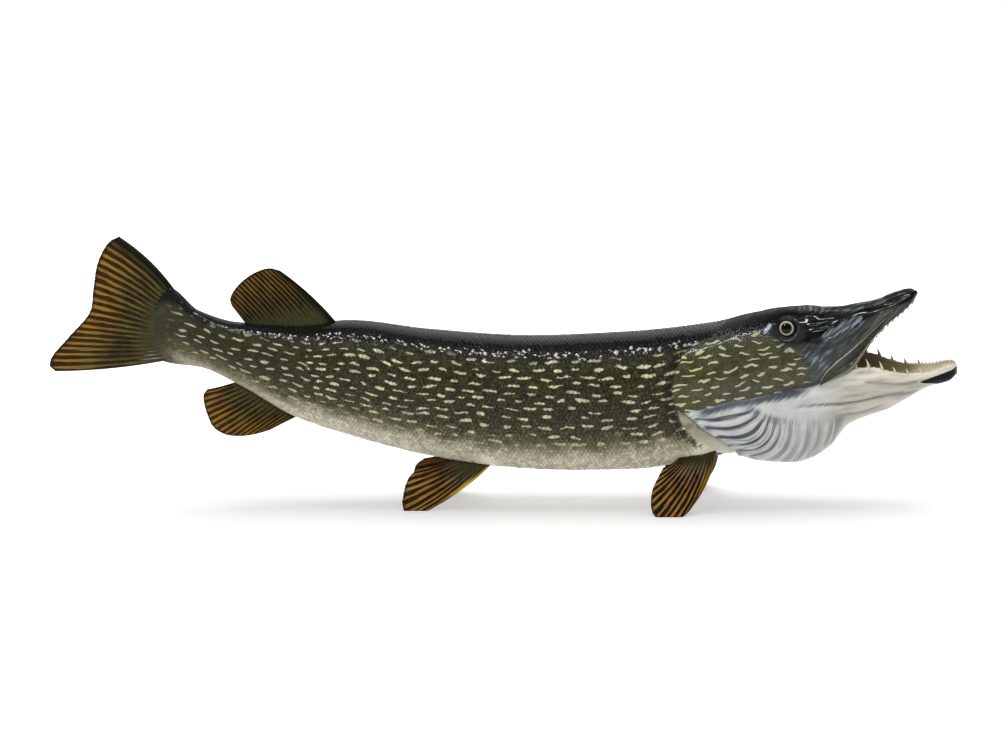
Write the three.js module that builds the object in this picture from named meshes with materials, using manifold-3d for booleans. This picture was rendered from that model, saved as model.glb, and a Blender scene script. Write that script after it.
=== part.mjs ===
// A mounted northern pike, life size, standing on its four paired fins with its mouth open.
// Millimetres, +Z up. The fish faces +X, its right side faces -Y, and the floor is Z = 0.
import * as THREE from "three";
import { mergeVertices } from "three/addons/utils/BufferGeometryUtils.js";
import Module from "manifold-3d";

const wasm = await Module();
wasm.setup();

// ---------------------------------------------------------------- driving dimensions

const SNOUT_X = 454; // tip of the upper jaw
const CHIN_X = 499; // tip of the lower jaw, the foremost point
const CORNER_X = 350; // corner of the mouth
const TAIL_ROOT_X = -388; // where the flesh runs out between the tail's rays
const GULLET_X = 285; // deepest point of the open mouth

const CUT = 0.4; // width of the cuts that part the flesh into nodes
const CLEARANCE = 0.35; // gap left between a piece and what it sits on
const SEAM_LEVEL = 1e-4; // vertices closer than this are one vertex

// Outline seen from the side: height of the back, and of the belly and throat, along X.
const BACK = [
  [TAIL_ROOT_X, 214], [-378, 233], [-366, 242], [-334, 216], [-290, 202.5], [-224, 199.5],
  [-170, 204.5], [-81, 194], [30, 186.7], [139, 191.2], [227, 201], [315, 218],
  [359, 219.8], [403, 226.8], [446, 240.8], [SNOUT_X, 238],
];
const KEEL = [
  [TAIL_ROOT_X, 180], [-378, 161], [-366, 156.5], [-334, 152.5], [-290, 132.5], [-229, 97],
  [-169, 76.5], [-86, 54.5], [-15, 42.3], [73, 37], [139, 38], [190, 43.5], [252, 54.5],
  [282, 46.8], [318, 43.5], [340, 49], [360, 62.5], [381, 88], [425, 105.8], [469, 131],
  [490, 136.8], [CHIN_X, 145],
];
// Widest line of the body, back to the corner of the mouth: X, half width, height.
const FLANK = [
  [TAIL_ROOT_X, 2, 196], [-378, 3.6, 198], [-366, 6.5, 197], [-334, 14.5, 184], [-290, 21.5, 168],
  [-229, 31, 150], [-169, 38.5, 141], [-86, 44.5, 127], [-15, 47, 116], [73, 48, 112],
  [139, 48, 115], [190, 48, 121], [235, 49.5, 127], [280, 47.5, 135], [318, 44, 143],
  [CORNER_X, 40, 150],
];
// Edge of the upper jaw and of the lower jaw, from the corner to each tip: X, half width, height.
const UPPER_LIP = [
  [CORNER_X, 40, 150], [362, 38.5, 158], [375, 36.5, 164], [387, 33.5, 172], [398, 30, 184.5],
  [412, 25.5, 200.5], [424, 22.5, 210.5], [436, 18.5, 219.5], [448, 11.5, 229.5], [SNOUT_X, 1, 235],
];
const LOWER_LIP = [
  [CORNER_X, 40, 150], [365, 38, 153.5], [383, 36.5, 158], [402, 34.5, 158.5], [426, 29.5, 152.3],
  [444, 25, 149], [469, 19.5, 150.3], [486, 14, 155], [496, 8.5, 156.5], [CHIN_X, 1, 152],
];
// Roof and floor of the mouth on the middle line.
const PALATE = [
  [GULLET_X, 152], [300, 168], [CORNER_X, 190], [403, 211], [430, 226], [SNOUT_X, 236.5],
];
const FLOOR = [
  [GULLET_X, 150], [300, 133], [CORNER_X, 116], [402, 122], [444, 135], [480, 148], [CHIN_X, 152],
];
const LIP_THICKNESS = 5;
// Roundness of the sections: 1 is an ellipse, less is squarer, more is pinched to a keel.
const BACK_SQUARE = [
  [TAIL_ROOT_X, 1], [-334, 0.95], [-169, 0.86], [190, 0.84], [300, 0.8], [SNOUT_X, 0.8],
];
const KEEL_SQUARE = [
  [TAIL_ROOT_X, 1], [-334, 0.95], [-169, 0.86], [190, 0.88], [270, 1.1], [360, 1.1], [CHIN_X, 0.9],
];
const MOUTH_SQUARE = 0.9;
// Where the surface closes to a point: X and height on the middle line.
const TAIL_POINT = [TAIL_ROOT_X - 2, 197];
const GULLET_POINT = [GULLET_X, 151];
const SNOUT_POINT = [SNOUT_X, 236.5];
const CHIN_POINT = [CHIN_X, 149];

const GILL_LIFT = 2.2; // how far the gill covers stand out over the trunk
const GILL_LIFT_RUN = [120, 175, 210, 330]; // X where that starts, is full, starts to fade, is gone

// Lines drawn on the side of the head, as X and Z: they are where the flesh is parted.
const GILL_LINE = [
  [206, 240], [200, 192], [196, 178], [185, 150], [183.5, 136], [186, 123], [192, 116],
  [203, 108], [220, 92], [234, 82], [248, 69], [258, 55], [262, 30],
];
const BROW_LINE = [[180, 177], [196, 178], [240, 182], [290, 184], [330, 172], [351, 150]];
const THROAT_LINE = [
  [170, 115], [190, 115], [216, 115], [265, 124], [305, 135.5], [345, 146], [351, 150],
];
const JAW_LINE = [[349, 152], [350, 148], [356, 130], [368, 108], [388, 80], [394, 50]];
const GAPE_LINE = [
  [349, 150], [362, 155.8], [375, 160.2], [387, 163.8], [402, 172], [470, 205], [560, 230],
];
const GILL_STEPS = 20; // steps along the gill line, and along the shorter lines
const LINE_STEPS = 12;
// Planes that part the trunk into lengths.
const TRUNK_CUTS = [-330, -190, -20];
// A box round the whole fish, as far as the cutting shapes reach.
const REACH = { behind: -600, ahead: 600, side: 120, low: -50, high: 400 };

// Fins: the line they grow from (front, then rear) and their outer edge, both as X and Z; half
// the thickness at base and edge; and how far the first and last rays bow away from the others.
const TAIL_FIN = {
  base: [[-352, 226], [-376, 203], [-368, 160]],
  edge: [
    [-421, 300], [-432, 293.5], [-444.5, 271], [-450, 240], [-454, 215], [-478, 186],
    [-497.5, 162], [-498.9, 153], [-493, 147],
  ],
  half: [2.1, 0.7],
  bow: [6, 3],
};
const DORSAL_FIN = {
  base: [[-178, 196], [-232, 190], [-276, 192]],
  edge: [
    [-245, 261.5], [-257, 264], [-272, 259.5], [-286, 250], [-295, 240], [-300, 229],
    [-298, 221],
  ],
  half: [2.4, 0.7],
  bow: [3.5, 0],
};
const ANAL_FIN = {
  base: [[-212, 104], [-250, 124], [-284, 139]],
  edge: [
    [-258, 80], [-275, 75], [-293, 73], [-309, 76], [-320, 84], [-326, 97], [-330, 112],
    [-330, 121], [-326, 126.5],
  ],
  half: [2.4, 0.7],
  bow: [0, 1],
};
// Paired fins lie in a plane that leans out: side is the distance from the middle at the floor.
// The left ones swing forward by a little more than the right ones.
const PECTORAL_FIN = {
  base: [[235, 70], [216, 65], [199, 62]],
  edge: [
    [210, 13], [202, 4], [193, -1.5], [180, -1.8], [168, -1.5], [162.5, 6], [161.5, 14],
    [163.5, 26], [170, 38], [175.5, 47],
  ],
  half: [3, 1.1],
  bow: [-5, 2],
  swing: 25,
  side: 68,
  lean: 0.704,
};
const PELVIC_FIN = {
  base: [[0, 60], [-22, 58], [-40, 58]],
  edge: [
    [-74, 8], [-80, 2], [-87, -1.5], [-98, -1.8], [-108, -1.5], [-111.5, 6], [-110.5, 15],
    [-108, 25], [-103, 34], [-92, 42.5],
  ],
  half: [2.8, 1.1],
  bow: [-3, 2],
  swing: 15,
  side: 43,
  lean: 0.575,
};

const EYE = {
  x: 311.5,
  z: 203.5,
  sunk: 3.4, // how far the middle of the eye lies inside the cheek
  radius: 10.4,
  depth: 7.4,
  lookUp: 18, // degrees
  lookAhead: 7, // degrees
};

// Maxilla: the long plate that hangs over the corner of the mouth, from its low rear end to its
// narrow upper end, as pairs of points on its rear and front edges (X, Z).
const MAXILLA_REAR = [[345, 143.5], [352, 157], [365, 170], [383, 184], [402, 200], [418, 214]];
const MAXILLA_FRONT = [[347, 142.5], [365, 149.5], [379, 156], [389, 168.5], [399, 184], [420, 209]];
const MAXILLA_THICKNESS = 2.2;
const MAXILLA_EDGE = 0.55; // thickness at its edges, as a part of that in the middle
const MAXILLA_ROWS = 8;
const MAXILLA_GAP = 0.8; // between the plate and the cheek and jaw under it

const TONGUE = { rear: 322, tip: 446, half: 11, height: 6, rings: 8, sides: 10, rise: 5 };

// Teeth: [first X, last X, how many a side, height at the first, height at the last].
const JAW_TEETH = [[386, 458, 6, 8, 5], [465, 491, 5, 4, 3.2]];
const SNOUT_TEETH = [[396, 446, 8, 3.6, 3.2]];
const TOOTH_RADIUS = 0.24; // of its height
const TOOTH_ROOT = 1.6; // how deep a tooth is set
const TOOTH_LEAN = 0.3; // radians, towards the gullet
const TOOTH_SIDES = 5;

const RING_STEPS = 14; // steps over the back, and as many under the belly
const STATION_RUNS = [[TAIL_ROOT_X, -330, 8], [-330, 170, 15], [170, CORNER_X, 13]]; // from, to, rings
const MOUTH_RINGS = 5;
const UPPER_JAW_RINGS = 9;
const LOWER_JAW_RINGS = 11;
const FIN_RAYS = 11; // steps across a fin, and from its base to its edge
const FIN_STEPS = 3;

const COLOURS = {
  flank: 0x4d4d33,
  head: 0x2f3026,
  cheek: 0x55583a,
  throat: 0xc9ccc8,
  jaw: 0xd5d0c0,
  maxilla: 0x5b5e45,
  fin: 0x6b4316,
  eye: 0x16140f,
  tongue: 0xc9b79a,
};

// ---------------------------------------------------------------- curves

/** A smooth curve through rows of [x, value, ...], as a function of x; it never overshoots. */
function through(rows, column = 1) {
  const xs = rows.map((row) => row[0]);
  const ys = rows.map((row) => row[column]);
  const rise = xs.slice(1).map((x, i) => (ys[i + 1] - ys[i]) / (x - xs[i]));
  const slope = xs.map((x, i) => {
    if (i === 0) return rise[0];
    if (i === rise.length) return rise[i - 1];
    const product = rise[i - 1] * rise[i];
    return product > 0 ? (2 * product) / (rise[i - 1] + rise[i]) : 0;
  });
  return (x) => {
    const inside = Math.min(Math.max(x, xs[0]), xs[xs.length - 1]);
    const last = xs.findIndex((edge, i) => i > 0 && inside <= edge);
    const span = xs[last] - xs[last - 1];
    const t = (inside - xs[last - 1]) / span;
    const eased = t * t * (3 - 2 * t);
    const leave = t * (1 - t) * (1 - t) * span * slope[last - 1];
    const arrive = t * t * (t - 1) * span * slope[last];
    return ys[last - 1] * (1 - eased) + ys[last] * eased + leave + arrive;
  };
}

/** count + 1 points along a smooth line through the [x, z] points, evenly spaced. */
function along(points, count) {
  const line = new THREE.CatmullRomCurve3(points.map(([x, z]) => new THREE.Vector3(x, 0, z)));
  return line.getSpacedPoints(count);
}

/** Stations from a to b that crowd towards b, where a jaw comes to its tip. */
function crowded(a, b, count) {
  return Array.from({ length: count }, (_, i) => a + (b - a) * Math.sin((i / count) * (Math.PI / 2)));
}

/** Evenly spaced stations from a up to b. */
function even(a, b, count) {
  return Array.from({ length: count + 1 }, (_, i) => a + ((b - a) * i) / count);
}

const back = through(BACK);
const keel = through(KEEL);
const flankWidth = through(FLANK, 1);
const flankHeight = through(FLANK, 2);
const upperLipWidth = through(UPPER_LIP, 1);
const upperLipHeight = through(UPPER_LIP, 2);
const lowerLipWidth = through(LOWER_LIP, 1);
const lowerLipHeight = through(LOWER_LIP, 2);
const palate = through(PALATE);
const mouthFloor = through(FLOOR);
const backSquare = through(BACK_SQUARE);
const keelSquare = through(KEEL_SQUARE);

// ---------------------------------------------------------------- solids from rings

/** Collects rings of points into one closed surface. */
class Skin {
  constructor() {
    this.corners = [];
  }

  triangle(a, b, c) {
    for (const point of [a, b, c]) this.corners.push(point.x, point.y, point.z);
  }

  /** Joins each ring to the next; a ring closes on itself. */
  loft(rings) {
    for (let i = 1; i < rings.length; i += 1) {
      const near = rings[i - 1];
      const far = rings[i];
      for (let j = 0; j < near.length; j += 1) {
        const k = (j + 1) % near.length;
        this.triangle(near[j], far[j], far[k]);
        this.triangle(near[j], far[k], near[k]);
      }
    }
  }

  /** Closes a ring with a fan to one point; ahead says that the surface ends there. */
  close(ring, point, ahead) {
    for (let j = 0; j < ring.length; j += 1) {
      const k = (j + 1) % ring.length;
      if (ahead) this.triangle(ring[j], point, ring[k]);
      else this.triangle(ring[k], point, ring[j]);
    }
  }

  solid() {
    const geometry = new THREE.BufferGeometry();
    geometry.setAttribute("position", new THREE.Float32BufferAttribute(this.corners, 3));
    return solidFrom(geometry);
  }
}

/** A geometry as a manifold solid, turned right side out if need be. */
function solidFrom(geometry) {
  const bare = geometry.clone();
  bare.deleteAttribute("normal");
  bare.deleteAttribute("uv");
  const merged = mergeVertices(bare, SEAM_LEVEL);
  const triangles = Array.from(merged.index.array);
  const whole = [];
  for (let i = 0; i < triangles.length; i += 3) {
    const [a, b, c] = triangles.slice(i, i + 3);
    if (a !== b && b !== c && c !== a) whole.push(a, b, c);
  }
  const position = merged.getAttribute("position").array;
  const make = (order) =>
    new wasm.Manifold(new wasm.Mesh({ numProp: 3, vertProperties: position, triVerts: order }));
  const made = make(new Uint32Array(whole));
  return made.volume() > 0 ? made : make(new Uint32Array(whole.reverse()));
}

/** The solid's largest body, which leaves out slivers that a cut has freed. */
function largest(solid) {
  return solid.decompose().reduce((a, b) => (a.volume() > b.volume() ? a : b));
}

/** A closed [x, z] outline carried across the whole fish along Y, or over one side of it. */
function prism(points, yFrom = -REACH.side, yTo = REACH.side) {
  const shape = new THREE.Shape(points.map(([x, z]) => new THREE.Vector2(x, z)));
  const geometry = new THREE.ExtrudeGeometry(shape, { depth: yTo - yFrom, bevelEnabled: false });
  geometry.rotateX(Math.PI / 2);
  geometry.translate(0, yTo, 0);
  return solidFrom(geometry);
}

/** A thin upright blade along a line of [x, z] points, as wide as a cut. */
function blade(points, count) {
  const line = along(points, count);
  const offset = (point, i, way) => {
    const ahead = line[Math.min(i + 1, count)];
    const behind = line[Math.max(i - 1, 0)];
    const run = ahead.clone().sub(behind).normalize();
    return [point.x - way * run.z * (CUT / 2), point.z + way * run.x * (CUT / 2)];
  };
  const left = line.map((point, i) => offset(point, i, 1));
  const right = line.map((point, i) => offset(point, i, -1)).reverse();
  return prism([...left, ...right]);
}

/** All of the space between two X, or one side of it, from the given height up. */
function between(xFrom, xTo, low = REACH.low, yFrom = -REACH.side, yTo = REACH.side) {
  return prism([[xFrom, low], [xTo, low], [xTo, REACH.high], [xFrom, REACH.high]], yFrom, yTo);
}

// ---------------------------------------------------------------- the body's sections

/** Half a section at x: an arch from the left side (+Y) over its crown to the right side. */
function arch(x, half, level, crown, square) {
  return Array.from({ length: RING_STEPS + 1 }, (_, i) => {
    const angle = (i / RING_STEPS - 0.5) * Math.PI;
    const out = Math.sign(angle) * Math.abs(Math.sin(angle)) ** square;
    const up = Math.max(0, Math.cos(angle)) ** square;
    return new THREE.Vector3(x, -half * out, level + (crown - level) * up);
  });
}

/** How far the gill covers widen the head at x. */
function gillLift(x, lift) {
  const [start, full, fade, end] = GILL_LIFT_RUN;
  const rise = THREE.MathUtils.smoothstep(x, start, full);
  return lift * rise * (1 - THREE.MathUtils.smoothstep(x, fade, end));
}

/** A closed ring of the outer body at x, grown by a little on every side. */
function bodyRing(x, lift, grow = 0) {
  const half = flankWidth(x) + gillLift(x, lift) + grow;
  const level = flankHeight(x);
  const upper = arch(x, half, level, back(x) + grow, backSquare(x));
  const lower = arch(x, half, level, keel(x) - grow, keelSquare(x)).reverse();
  return [...upper, ...lower.slice(1, -1)];
}

/** Half width of the mouth's inside at x: a lip less than the jaw's, and nothing at the gullet. */
function mouthHalf(x, lipWidth) {
  const open = Math.sqrt(THREE.MathUtils.clamp((x - GULLET_X) / (CORNER_X - GULLET_X), 0, 1));
  const lip = Math.min(LIP_THICKNESS, lipWidth / 4);
  return (lipWidth - lip) * open;
}

/** Roof of the mouth at x, from its right edge to its left. */
function roofArch(x, lipWidth, lipHeight) {
  return arch(x, mouthHalf(x, lipWidth), lipHeight, palate(x), MOUTH_SQUARE).reverse();
}

/** Floor of the mouth at x, from its left edge to its right. */
function floorArch(x, lipWidth, lipHeight) {
  return arch(x, mouthHalf(x, lipWidth), lipHeight, mouthFloor(x), MOUTH_SQUARE);
}

/** A closed ring round the inside of the mouth behind its corner. */
function mouthRing(x) {
  const roof = roofArch(x, flankWidth(x), flankHeight(x));
  const bottom = floorArch(x, flankWidth(x), flankHeight(x));
  return [...roof, ...bottom.slice(1, -1)];
}

/** A closed loop round the upper jaw: over the snout, then back along the roof of the mouth. */
function upperJawLoop(x) {
  const half = upperLipWidth(x);
  const height = upperLipHeight(x);
  return [...arch(x, half, height, back(x), backSquare(x)), ...roofArch(x, half, height)];
}

/** A closed loop round the lower jaw: under the chin, then back along the floor of the mouth. */
function lowerJawLoop(x) {
  const half = lowerLipWidth(x);
  const height = lowerLipHeight(x);
  const under = arch(x, half, height, keel(x), keelSquare(x)).reverse();
  return [...under, ...floorArch(x, half, height)];
}

/** Every X at which the body has a ring behind the corner of the mouth, closest at the tail. */
function stations() {
  const runs = STATION_RUNS.map(([from, to, count]) => even(from, to, count).slice(1));
  return [TAIL_ROOT_X, ...runs.flat()];
}

/** A point on the middle plane, a little further along X if it is moved. */
function midPoint([x, z], moved = 0) {
  return new THREE.Vector3(x + moved, 0, z);
}

/** The whole fish without fins, one closed solid with its mouth open. */
function bodySolid(lift) {
  const skin = new Skin();
  const outer = stations().map((x) => bodyRing(x, lift));
  skin.loft(outer);
  skin.close(outer[0], midPoint(TAIL_POINT), false);
  const inner = even(GULLET_X + 2, CORNER_X, MOUTH_RINGS).map(mouthRing);
  skin.loft(inner);
  skin.close(inner[0], midPoint(GULLET_POINT), false);
  const upper = crowded(CORNER_X, SNOUT_X, UPPER_JAW_RINGS).map(upperJawLoop);
  skin.loft(upper);
  skin.close(upper[upper.length - 1], midPoint(SNOUT_POINT), true);
  const lower = crowded(CORNER_X, CHIN_X, LOWER_JAW_RINGS).map(lowerJawLoop);
  skin.loft(lower);
  skin.close(lower[lower.length - 1], midPoint(CHIN_POINT), true);
  return skin.solid();
}

/** The outer body as a plain closed loft, grown on every side, which the fins are fitted to. */
function grownBody() {
  const skin = new Skin();
  const rings = stations().map((x) => bodyRing(x, 0, CLEARANCE));
  skin.loft(rings);
  skin.close(rings[0], midPoint(TAIL_POINT, -CLEARANCE), false);
  skin.close(rings[rings.length - 1], midPoint([CORNER_X, flankHeight(CORNER_X)]), true);
  return skin.solid();
}

// ---------------------------------------------------------------- parting the flesh

/** Points of a line as [x, z] pairs, for an outline that follows it. */
function outline(points, count) {
  return along(points, count).map((point) => [point.x, point.z]);
}

/** The trunk's lengths, tail first. */
function trunkPieces() {
  const names = ["tail_stalk", "trunk_rear", "trunk_middle", "trunk_front"];
  const gill = outline(GILL_LINE, GILL_STEPS);
  const { behind, low, high } = REACH;
  const region = prism([[behind, high], ...gill, [gill[GILL_STEPS][0], low], [behind, low]]);
  const trunk = bodySolid(0).subtract(blade(GILL_LINE, GILL_STEPS)).intersect(region);
  const ends = [behind, ...TRUNK_CUTS, REACH.ahead];
  return names.map((name, i) => {
    const length = between(ends[i] + CUT / 2, ends[i + 1] - CUT / 2);
    return [name, largest(trunk.intersect(length))];
  });
}

/** The head: the skull with its snout, the two gill covers with the cheeks, throat and jaw. */
function headPieces() {
  const gill = outline(GILL_LINE, GILL_STEPS);
  const brow = outline(BROW_LINE, LINE_STEPS);
  const throat = outline(THROAT_LINE, LINE_STEPS).slice(0, -1);
  const jaw = outline(JAW_LINE, LINE_STEPS).slice(1);
  const gape = outline(GAPE_LINE, LINE_STEPS).slice(1);
  const { ahead, low, high } = REACH;
  const region = prism([...gill, [gill[GILL_STEPS][0], low], [ahead, low], [ahead, high]]);
  const lines = [BROW_LINE, THROAT_LINE, JAW_LINE];
  const gilled = bodySolid(GILL_LIFT).subtract(blade(GILL_LINE, GILL_STEPS)).intersect(region);
  const head = lines.reduce((rest, line) => rest.subtract(blade(line, LINE_STEPS)), gilled);
  const above = prism([[brow[0][0], high], ...brow, ...gape, [ahead, high]]);
  const below = prism([[throat[0][0], low], ...throat, ...jaw, [jaw[jaw.length - 1][0], low]]);
  const front = prism([...jaw.slice().reverse(), ...gape, [ahead, low]]);
  const cheeks = head.subtract(above).subtract(below).subtract(front);
  const right = between(0, ahead, low, -REACH.side, -CUT / 2);
  const left = between(0, ahead, low, CUT / 2, REACH.side);
  return {
    skull: largest(head.intersect(above)),
    gill_cover_right: largest(cheeks.intersect(right)),
    gill_cover_left: largest(cheeks.intersect(left)),
    throat: largest(head.intersect(below)),
    lower_jaw: largest(head.intersect(front)),
  };
}

// ---------------------------------------------------------------- teeth, tongue, maxilla, eyes

/** Half width of the side of the head at x and z, level with the lip below it. */
function sideAt(x, z) {
  const beyond = x > CORNER_X;
  const half = beyond ? upperLipWidth(x) : flankWidth(x) + gillLift(x, GILL_LIFT);
  const level = beyond ? upperLipHeight(x) : flankHeight(x);
  if (z <= level) return beyond ? Math.max(half, lowerLipWidth(x)) : half;
  const square = backSquare(x);
  const up = Math.min(1, (z - level) / (back(x) - level));
  return half * Math.max(0, 1 - up ** (2 / square)) ** (square / 2);
}

/** One pointed tooth that leans towards the gullet; up is 1 in the lower jaw, -1 in the upper. */
function tooth(x, y, z, height, up) {
  const cone = new THREE.ConeGeometry(TOOTH_RADIUS * height, height + TOOTH_ROOT, TOOTH_SIDES);
  cone.translate(0, (height + TOOTH_ROOT) / 2 - TOOTH_ROOT, 0);
  cone.rotateX((up * Math.PI) / 2);
  cone.rotateY(-up * TOOTH_LEAN);
  cone.translate(x, y, z);
  return solidFrom(cone);
}

/** Rows of teeth down both sides of a jaw, joined to the jaw they grow from. */
function withTeeth(jaw, rows, lipWidth, lipHeight, up) {
  let joined = jaw;
  for (const [first, last, count, tall, short] of rows) {
    even(first, last, count - 1).forEach((x, i) => {
      const height = tall + ((short - tall) * i) / (count - 1);
      const inset = Math.min(LIP_THICKNESS, lipWidth(x) / 4) / 2;
      for (const way of [-1, 1]) {
        joined = joined.add(tooth(x, way * (lipWidth(x) - inset), lipHeight(x), height, up));
      }
    });
  }
  return largest(joined);
}

/** The middle of a ring of points. */
function middleOf(ring) {
  return ring.reduce((sum, point) => sum.add(point), new THREE.Vector3()).divideScalar(ring.length);
}

/** A closed solid through rings of points, with both ends closed on their middles. */
function loftSolid(rings) {
  const skin = new Skin();
  skin.loft(rings);
  skin.close(rings[0], middleOf(rings[0]), false);
  skin.close(rings[rings.length - 1], middleOf(rings[rings.length - 1]), true);
  return skin.solid();
}

/** A flat tongue that lies along the floor of the mouth and narrows to a round tip. */
function tongueSolid() {
  const rings = even(TONGUE.rear, TONGUE.tip, TONGUE.rings).map((x, i) => {
    const run = i / TONGUE.rings;
    const half = TONGUE.half * Math.sqrt(Math.max(0.04, 1 - run ** 3));
    const bowl = (half / mouthHalf(x, lowerLipWidth(x))) ** 2 * TONGUE.rise;
    const rest = mouthFloor(x) + bowl + CLEARANCE;
    const tall = TONGUE.height * (1 - run / 2);
    return Array.from({ length: TONGUE.sides }, (_, j) => {
      const angle = (j / TONGUE.sides) * 2 * Math.PI;
      return new THREE.Vector3(x, half * Math.cos(angle), rest + (tall * (1 + Math.sin(angle))) / 2);
    });
  });
  return loftSolid(rings);
}

/** The maxilla on one side (-1 right, 1 left): a plate that follows the cheek, thickest inside. */
function maxillaSolid(way) {
  const rear = along(MAXILLA_REAR, MAXILLA_ROWS);
  const front = along(MAXILLA_FRONT, MAXILLA_ROWS);
  const row = (i, thickness) =>
    even(0, 1, 4).map((f) => {
      const spot = rear[i].clone().lerp(front[i], f);
      const swell = 1 - (1 - MAXILLA_EDGE) * (2 * f - 1) ** 2;
      const out = sideAt(spot.x, spot.z) + MAXILLA_GAP + thickness * swell;
      return new THREE.Vector3(spot.x, way * out, spot.z);
    });
  return loftSolid(rear.map((_, i) => [...row(i, 0), ...row(i, MAXILLA_THICKNESS).reverse()]));
}

/** One eye (-1 right, 1 left), or the socket that it sits in when grow is more than nothing. */
function eyeSolid(way, grow = 0) {
  const ball = new THREE.SphereGeometry(1, 14, 8);
  ball.scale(EYE.radius + grow, EYE.radius + grow, EYE.depth + grow);
  ball.rotateX(Math.PI / 2);
  ball.rotateX(way * THREE.MathUtils.degToRad(EYE.lookUp));
  ball.rotateZ(-way * THREE.MathUtils.degToRad(EYE.lookAhead));
  ball.translate(EYE.x, way * (sideAt(EYE.x, EYE.z) - EYE.sunk), EYE.z);
  return solidFrom(ball);
}

// ---------------------------------------------------------------- fins

/** A fin as a thin plate: rays run from its base to its edge and it thins towards the edge. */
function finSolid(fin, place) {
  const base = along(fin.base, FIN_RAYS);
  const edge = along(fin.edge, FIN_RAYS);
  const sheet = (way) =>
    base.map((root, i) =>
      even(0, 1, FIN_STEPS).map((r) => {
        const ray = edge[i].clone().sub(root).normalize();
        const run = i / FIN_RAYS;
        const bow = 4 * r * (1 - r) * (fin.bow[0] * (1 - run) - fin.bow[1] * run);
        const spot = root.clone().lerp(edge[i], r);
        spot.add(new THREE.Vector3(ray.z * bow, 0, -ray.x * bow));
        const half = fin.half[0] + (fin.half[1] - fin.half[0]) * r ** 0.7;
        return place(spot.x, spot.z, way * half);
      }),
    );
  const far = sheet(1);
  return loftSolid(sheet(-1).map((row, i) => [...row, ...far[i].slice().reverse()]));
}

/** Places a point of a fin on the middle plane; off is the distance from its own mid sheet. */
function upright(x, z, off) {
  return new THREE.Vector3(x, off, z);
}

/** Places a point of a paired fin, which leans out so that its edge meets the floor. */
function leaning(fin, way) {
  const tilt = Math.atan(fin.lean);
  const swing = way > 0 ? fin.swing : 0;
  return (x, z, off) => {
    const out = fin.side - fin.lean * z;
    const ahead = x + swing * (1 - z / fin.base[0][1]);
    return new THREE.Vector3(ahead, way * (out + off * Math.cos(tilt)), z + off * Math.sin(tilt));
  };
}

/** The seven fins, fitted to the body, with the paired ones cut flat where they stand. */
function finPieces() {
  const body = grownBody();
  const floor = between(REACH.behind, REACH.ahead, 0);
  const fitted = (solid) => largest(solid.subtract(body).intersect(floor));
  return [
    ["caudal_fin", fitted(finSolid(TAIL_FIN, upright))],
    ["dorsal_fin", fitted(finSolid(DORSAL_FIN, upright))],
    ["anal_fin", fitted(finSolid(ANAL_FIN, upright))],
    ["pectoral_fin_right", fitted(finSolid(PECTORAL_FIN, leaning(PECTORAL_FIN, -1)))],
    ["pectoral_fin_left", fitted(finSolid(PECTORAL_FIN, leaning(PECTORAL_FIN, 1)))],
    ["pelvic_fin_right", fitted(finSolid(PELVIC_FIN, leaning(PELVIC_FIN, -1)))],
    ["pelvic_fin_left", fitted(finSolid(PELVIC_FIN, leaning(PELVIC_FIN, 1)))],
  ];
}

// ---------------------------------------------------------------- the scene graph

const pike = new THREE.Group();

/** Adds one named piece, lacquered as the whole fish is. */
function place(name, solid, colour, roughness = 0.3) {
  const mesh = solid.getMesh();
  const geometry = new THREE.BufferGeometry();
  geometry.setAttribute("position", new THREE.BufferAttribute(mesh.vertProperties, 3));
  geometry.setIndex(new THREE.BufferAttribute(mesh.triVerts, 1));
  geometry.computeVertexNormals();
  const material = new THREE.MeshStandardMaterial({ color: colour, roughness, metalness: 0 });
  const piece = new THREE.Mesh(geometry, material);
  piece.name = name;
  pike.add(piece);
}

for (const [name, solid] of trunkPieces()) place(name, solid, COLOURS.flank);

const head = headPieces();
const sockets = [-1, 1].map((way) => eyeSolid(way, CLEARANCE));
const skull = sockets.reduce((rest, socket) => rest.subtract(socket), head.skull);
place("skull", withTeeth(skull, SNOUT_TEETH, upperLipWidth, upperLipHeight, -1), COLOURS.head);
place("gill_cover_right", head.gill_cover_right, COLOURS.cheek);
place("gill_cover_left", head.gill_cover_left, COLOURS.cheek);
place("throat", head.throat, COLOURS.throat);
place("lower_jaw", withTeeth(head.lower_jaw, JAW_TEETH, lowerLipWidth, lowerLipHeight, 1), COLOURS.jaw);
place("maxilla_right", maxillaSolid(-1), COLOURS.maxilla);
place("maxilla_left", maxillaSolid(1), COLOURS.maxilla);
place("tongue", tongueSolid(), COLOURS.tongue);
place("eye_right", eyeSolid(-1), COLOURS.eye, 0.05);
place("eye_left", eyeSolid(1), COLOURS.eye, 0.05);

for (const [name, solid] of finPieces()) place(name, solid, COLOURS.fin, 0.25);

export default pike;
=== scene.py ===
# %% [markdown]
# A mounted pike, life size: one skin from snout to tail, a coat of scales over it, seven rayed
# fins, teeth, a tongue and glass eyes, all under clear gloss lacquer.
# The solids of the part are loaded first and fix every place. Each shape below is then worked
# out with numpy as whole arrays, from the same tables of measures as the solids, in millimetres.

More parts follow.
